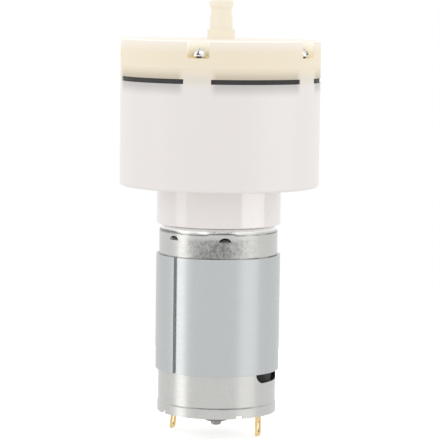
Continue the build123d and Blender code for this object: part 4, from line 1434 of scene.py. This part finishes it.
@dataclass(frozen=True)
class DiaphragmSkin:
    """Rubber diaphragm whose clamped edge fills the slits from post to post."""

    plan: HeadPlan
    rim: float = 29.75 * MM
    rim_width: float = 1.2 * MM
    softness: float = 0.25 * MM
    soft_angle: float = 50.0

    def build(self) -> None:
        """Fill the edge up to the posts, and round it off."""
        skin = Workpiece.of_node("diaphragm", "rubber_diaphragm")
        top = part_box("pump_housing")[1].z - TOUCH
        bottom, inner = top - self.plan.slit + 2 * TOUCH, self.rim - self.rim_width
        rim = Workpiece.drawn("rim_tool", [(inner, bottom), (self.rim, bottom), (self.rim, top),
                                           (inner, top)], hollow=True)
        post = self.plan.slot_tool("gap_tool", self.plan.post_half, bottom - self.plan.margin,
                                   top + self.plan.margin)
        rim.join(Join.CUT, *post.ring_of(self.plan.post_angles()))
        skin.join(Join.ADD, rim)
        skin.soften(self.softness, ROUND_STEPS, self.soft_angle)
        skin.hand_over(BLACK_RUBBER, "diaphragm")


@dataclass(frozen=True)
class MotorCan:
    """Deep-drawn can: wavy shoulder, magnet stops, brush windows, rim and crimps."""

    motor: MotorPlan
    radius: float = CAN_RADIUS
    wall: float = 1.2 * MM
    nose: float = 2.2 * MM
    nose_steps: int = 8
    rim_proud: float = 0.2 * MM
    rim_length: float = 3.2 * MM
    rim_wall: float = 0.75 * MM
    rim_step: float = 0.36 * MM
    rim_groove: float = 0.05 * MM
    boss: float = 6.5 * MM
    boss_height: float = 3.0 * MM
    boss_hole: float = 2.22 * MM
    window: float = 15.1 * MM
    window_height: float = 6.3 * MM
    window_from_rear: float = 10.0 * MM
    window_corner: float = 2.9 * MM
    window_steps: int = 10
    stop: float = 1.8 * MM
    stop_wall: float = 0.8 * MM
    stop_squash: tuple[float, float, float] = (1.0, 0.6, 0.72)
    stop_from_front: float = 4.1 * MM
    stop_angles: tuple[float, ...] = (-47.75, 6.55, 132.25, 186.55)
    crimp: float = 2.2 * MM
    crimp_depth: float = 0.8 * MM
    crimp_reach: float = 1.4 * MM
    crimp_angles: tuple[float, ...] = (22.8, 118.0, 202.8, 298.0)
    crimp_gap: float = 0.01 * MM
    plate_thickness: float = 2.0 * MM
    wave: float = 0.7 * MM
    wave_span: float = 15.0
    softness: float = 0.1 * MM

    def build(self) -> None:
        """Draw the can, and cut and press its openings, stops and crimps."""
        low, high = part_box("motor_can")
        rear, front = low.z, high.z - self.boss_height
        rim_top = rear + self.rim_length
        rim, rim_bore = self.radius + self.rim_proud, self.radius + self.rim_proud - self.rim_wall
        bore = self.radius - self.wall
        can = Workpiece.drawn("can_shell", [
            (rim, rear), (rim, rim_top - self.rim_step),
            (self.radius - self.rim_groove, rim_top - self.rim_step / 2),
            (self.radius - self.rim_groove, rim_top), (self.radius, rim_top + self.rim_step),
            (self.radius, front), (self.boss, front), (self.boss, high.z),
            (self.boss_hole, high.z), (self.boss_hole, high.z - self.wall),
            (self.boss - self.wall, high.z - self.wall),
            (self.boss - self.wall, front - self.wall), (bore, front - self.wall),
            (bore, rim_top), (rim_bore, rim_top), (rim_bore, rear)], hollow=True)
        can.round_ring(self.radius, front, self.nose, self.nose_steps)
        can.round_ring(bore, front - self.wall, self.nose - self.wall)
        self.ripple(can, front - self.nose)
        stop_height = front - self.stop_from_front
        can.join(Join.ADD, *self.stop_tool(stop_height, self.stop + self.stop_wall, True).ring_of(
            self.stop_angles))
        can.join(Join.CUT, *self.stop_tool(stop_height, self.stop, False).ring_of(
            self.stop_angles))
        can.join(Join.CUT, *self.window_tool(rear).ring_of(self.motor.screw_angles()))
        can.drill(self.motor.screw_circle, self.motor.screw_hole, front - 2 * self.wall,
                  front + self.wall, self.motor.screw_angles())
        can.join(Join.CUT, *self.notch_tool(rear, rim_bore, rim).ring_of(self.crimp_angles))
        can.join(Join.ADD, *self.crimp_tool(rim_top, rim_bore).ring_of(self.crimp_angles))
        can.soften(self.softness)
        can.hand_over(PLATED_CAN, "motor_can")

    def ripple(self, can: Workpiece, foot: float) -> None:
        """Press the shoulder's round edge together over each stop, as the press leaves it.

        Args:
            can: the can.
            foot: height at which the round edge starts.
        """
        with can.editing() as mesh:
            for point in mesh.verts:
                outside = math.hypot(point.co.x, point.co.y) > self.radius - self.nose
                if point.co.z < foot - TOUCH or not outside:
                    continue
                facing = math.degrees(math.atan2(point.co.x, -point.co.y))
                for angle in self.stop_angles:
                    away = abs((facing - angle + 180) % 360 - 180)
                    if away < self.wave_span:
                        crest = math.cos(math.pi * away / 2 / self.wave_span) ** 2
                        share = self.wave / self.nose * crest
                        point.co.z += (foot + self.nose - point.co.z) * share
            bmesh.update_edit_mesh(can.body.data)

    def stop_tool(self, height: float, radius: float, clipped: bool) -> Workpiece:
        """Upper half of a flattened ball on the can's face.

        Args:
            height: height of its flat side.
            radius: the ball's radius.
            clipped: whether it ends short of the can's face, for the side inside the can.

        Returns:
            The half ball.
        """
        ball = Workpiece.add("stop_tool", bpy.ops.mesh.primitive_uv_sphere_add,
                             segments=Sides.HOLE, ring_count=Sides.HOLE // 2, radius=radius,
                             location=(0.0, -self.radius, height))
        with ball.editing():
            bpy.ops.mesh.select_all(action="SELECT")
            bpy.ops.mesh.bisect(plane_co=(0.0, 0.0, height), plane_no=(0.0, 0.0, 1.0),
                                use_fill=True, clear_inner=True)
            bpy.ops.mesh.select_all(action="SELECT")
            bpy.ops.transform.resize(value=self.stop_squash,
                                     center_override=(0.0, -self.radius, height))
        if clipped:
            inside = self.radius - self.wall / 2
            ball.join(Join.KEEP, Workpiece.disc("clip_tool", inside, height - radius,
                                                height + radius))
        return ball

    def window_tool(self, rear: float) -> Workpiece:
        """Block with round corners that opens a brush window.

        Args:
            rear: height of the can's rear edge.

        Returns:
            The tool.
        """
        foot = rear + self.window_from_rear
        tool = Workpiece.block("window_tool", self.window,
                               (-self.radius - self.wall, -self.radius / 2),
                               (foot, foot + self.window_height))
        with tool.editing() as mesh:
            bpy.ops.mesh.select_mode(type="EDGE")
            for edge in mesh.edges:
                step = edge.verts[0].co - edge.verts[1].co
                edge.select = abs(step.y) > max(abs(step.x), abs(step.z))
            mesh.select_flush_mode()
            bmesh.update_edit_mesh(tool.body.data)
            bpy.ops.mesh.bevel(offset=self.window_corner, segments=self.window_steps,
                               affect="EDGES")
        return tool

    def notch_tool(self, rear: float, rim_bore: float, rim: float) -> Workpiece:
        """Notch that the folded tongue leaves in the rim's edge."""
        return Workpiece.block("notch_tool", self.crimp,
                               (-rim - self.wall, -rim_bore + self.softness),
                               (rear - self.crimp_depth, rear + self.crimp_depth))

    def crimp_tool(self, rim_top: float, rim_bore: float) -> Workpiece:
        """Tongue of the rim folded over the end plate."""
        plate = rim_top - self.plate_thickness
        return Workpiece.block("crimp_tool", self.crimp,
                               (-rim_bore - self.rim_wall / 2, -rim_bore + self.crimp_reach),
                               (plate - self.crimp_depth / 2, plate - self.crimp_gap))


@dataclass(frozen=True)
class FluxRing:
    """Rolled ring with soft rims, open along one seam."""

    bore: float = CAN_RADIUS
    thickness: float = 0.9 * MM
    gap: float = 1.3 * MM
    gap_angle: float = -42.6
    softness: float = 0.14 * MM

    def build(self) -> None:
        """Draw the ring, open its seam and soften its edges."""
        low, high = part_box("flux_ring")
        outer = self.bore + self.thickness
        ring = Workpiece.drawn("ring_shell", [(self.bore, low.z), (outer, low.z), (outer, high.z),
                                              (self.bore, high.z)], hollow=True)
        seam = Workpiece.block("seam_tool", self.gap, (-2 * outer, 0.0),
                               (low.z - self.gap, high.z + self.gap))
        ring.join(Join.CUT, *seam.ring_of((self.gap_angle,)))
        ring.soften(self.softness, ROUND_STEPS)
        ring.hand_over(RING_STEEL, "flux_ring")


@dataclass(frozen=True)
class SoftenedPart:
    """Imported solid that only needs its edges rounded."""

    node: str
    finish: Finish
    softness: float
    soft_angle: float = 40.0

    def build(self) -> None:
        """Copy the solid and round its edges."""
        piece = Workpiece.of_node(self.node, f"{self.node}_soft")
        piece.soften(self.softness, angle=self.soft_angle)
        piece.hand_over(self.finish, self.node)


@dataclass(frozen=True)
class Lamp:
    """Soft rectangular lamp that faces the pump and shows in shiny surfaces only.

    Its azimuth and its elevation above the table are in degrees, its distance from the
    pump and its width and height in metres, and its power in watts.
    """

    name: str
    azimuth: float
    elevation: float
    distance: float
    size: Pair
    power: float
    receiver: str | None = None
    aim: float = 30.0 * MM

    def build(self) -> None:
        """Hang the lamp, and keep its light to its receiver if it names one."""
        data = bpy.data.lights.new(self.name, "AREA")
        data.shape = "RECTANGLE"
        data.size, data.size_y = self.size
        data.energy = self.power
        lamp = bpy.data.objects.new(self.name, data)
        bpy.context.scene.collection.objects.link(lamp)
        turn, lift = math.radians(self.azimuth), math.radians(self.elevation)
        away = Vector((math.sin(turn) * math.cos(lift), -math.cos(turn) * math.cos(lift),
                       math.sin(lift)))
        lamp.location = away * self.distance + Vector((0.0, 0.0, self.aim))
        lamp.rotation_mode = "QUATERNION"
        lamp.rotation_quaternion = away.to_track_quat("Z", "Y")
        lamp.visible_diffuse = False
        if self.receiver:
            lit = bpy.data.collections.new(f"{self.name}_receivers")
            lit.objects.link(bpy.data.objects[self.receiver])
            lamp.light_linking.receiver_collection = lit


@dataclass(frozen=True)
class Studio:
    """Pale table, soft lamps, white world and camera.

    The world's light goes from the first to the second world strength as its direction
    turns from the camera's side to the back, over the world depths.
    """

    lamps: tuple[Lamp, ...] = (
        Lamp("lamp_right", 60.0, 8.0, 0.85, (0.6, 1.2), 0.75),
        Lamp("lamp_left", -73.0, 10.0, 0.85, (0.36, 1.2), 1.2),
        Lamp("lamp_top", 0.0, 48.0, 0.9, (1.2, 0.75), 3.8),
        Lamp("lamp_sheen", 67.5, 8.0, 0.85, (0.78, 1.2), 4.2, "housing_body"),
    )
    white: Colour = (1.0, 1.0, 1.0)
    world_depths: Pair = (-1.0, 0.1)
    world_strengths: Pair = (0.93, 1.08)
    table_z: float = -37.9 * MM
    table_radius: float = 0.17
    table_colour: Colour = (0.86, 0.86, 0.86)
    table_roughness: float = 0.9
    table_specular: float = 0.1
    table_glow: float = 0.6
    lens: float = 183.0
    clip: Pair = (0.01, 20.0)
    camera_x: float = 0.41 * MM
    camera_distance: float = 674.8 * MM
    camera_z: float = 95.55 * MM
    tilt_down: float = 5.753
    roll: float = 0.76

    def build(self) -> None:
        """Set up the whole studio."""
        bpy.context.scene.view_settings.view_transform = "Standard"
        self.world()
        self.table()
        for lamp in self.lamps:
            lamp.build()
        self.camera()

    def world(self) -> None:
        """White seen directly and in metal, and a little darker as light from the front."""
        world = bpy.data.worlds.new("studio")
        bpy.context.scene.world = world
        world.use_nodes = True
        nodes = Nodes(world.node_tree)
        place = nodes.add("ShaderNodeTexCoord").outputs["Generated"]
        depth = nodes.add("ShaderNodeSeparateXYZ", {"Vector": place}).outputs["Y"]
        path = nodes.add("ShaderNodeLightPath")
        seen = nodes.chain("MAXIMUM", *(path.outputs[f"Is {kind} Ray"]
                                        for kind in ("Camera", "Glossy", "Transmission")))
        light = nodes.spread(depth, *self.world_depths, *self.world_strengths)
        strength = nodes.add("ShaderNodeMix", {"Factor": seen, "A": light, "B": 1.0})
        background = nodes.add("ShaderNodeBackground", {"Color": self.white,
                                                        "Strength": strength.outputs["Result"]})
        nodes.add("ShaderNodeOutputWorld", {"Surface": background.outputs["Background"]})

    def table(self) -> None:
        """Pale table that takes the pump's shadow and that shiny surfaces don't show."""
        table = Workpiece.add("table", bpy.ops.mesh.primitive_circle_add, vertices=Sides.NOZZLE,
                              radius=self.table_radius, fill_type="NGON",
                              location=(0.0, 0.0, self.table_z))
        shader = Shader("table_paint")
        path = shader.add("ShaderNodeLightPath").outputs
        glow = shader.sums("MULTIPLY", path["Is Camera Ray"], self.table_glow)
        shader.set(Base_Color=self.table_colour, Roughness=self.table_roughness,
                   Specular_IOR_Level=self.table_specular, Emission_Color=self.white,
                   Emission_Strength=glow)
        shader.clear(path["Is Glossy Ray"])
        table.body.data.materials.append(shader.material)

    def camera(self) -> None:
        """Camera at the reference view, a little above the pump and rolled a little."""
        data = bpy.data.cameras.new("view")
        data.lens = self.lens
        data.clip_start, data.clip_end = self.clip
        camera = bpy.data.objects.new("view", data)
        bpy.context.scene.collection.objects.link(camera)
        place = Matrix.Translation((self.camera_x, -self.camera_distance, self.camera_z))
        aim = Matrix.Rotation(math.radians(90 - self.tilt_down), 4, "X")
        camera.matrix_world = place @ aim @ Matrix.Rotation(math.radians(self.roll), 4, "Z")
        bpy.context.scene.camera = camera


class Piece(Protocol):
    """Anything that can model itself."""

    def build(self) -> None:
        """Model the piece and hand it over."""


def visible_pieces() -> list[Piece]:
    """Every piece that is modelled afresh, from the nozzle down."""
    plan, motor = HeadPlan(), MotorPlan()
    return [HeadCover(plan), CoverScrews(plan), PumpHousing(plan, motor), DiaphragmSkin(plan),
            MotorCan(motor), FluxRing(), SoftenedPart("valve_plate", CREAM, 0.12 * MM),
            SoftenedPart("terminal_1", TERMINAL_BRASS, 0.1 * MM),
            SoftenedPart("terminal_2", TERMINAL_BRASS, 0.1 * MM),
            SoftenedPart("end_plate", PLATED_CAN, 0.2 * MM)]


def main() -> None:
    """Build every dressed piece in order, and then the studio."""
    logging.basicConfig(level=logging.INFO, format="%(name)s: %(message)s")
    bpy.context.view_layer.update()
    log.info("%d solids dressed", dress_nodes(FINISHES))
    for piece in visible_pieces():
        piece.build()
    Studio().build()
    log.info("studio ready")


if __name__ == "__main__":
    main()
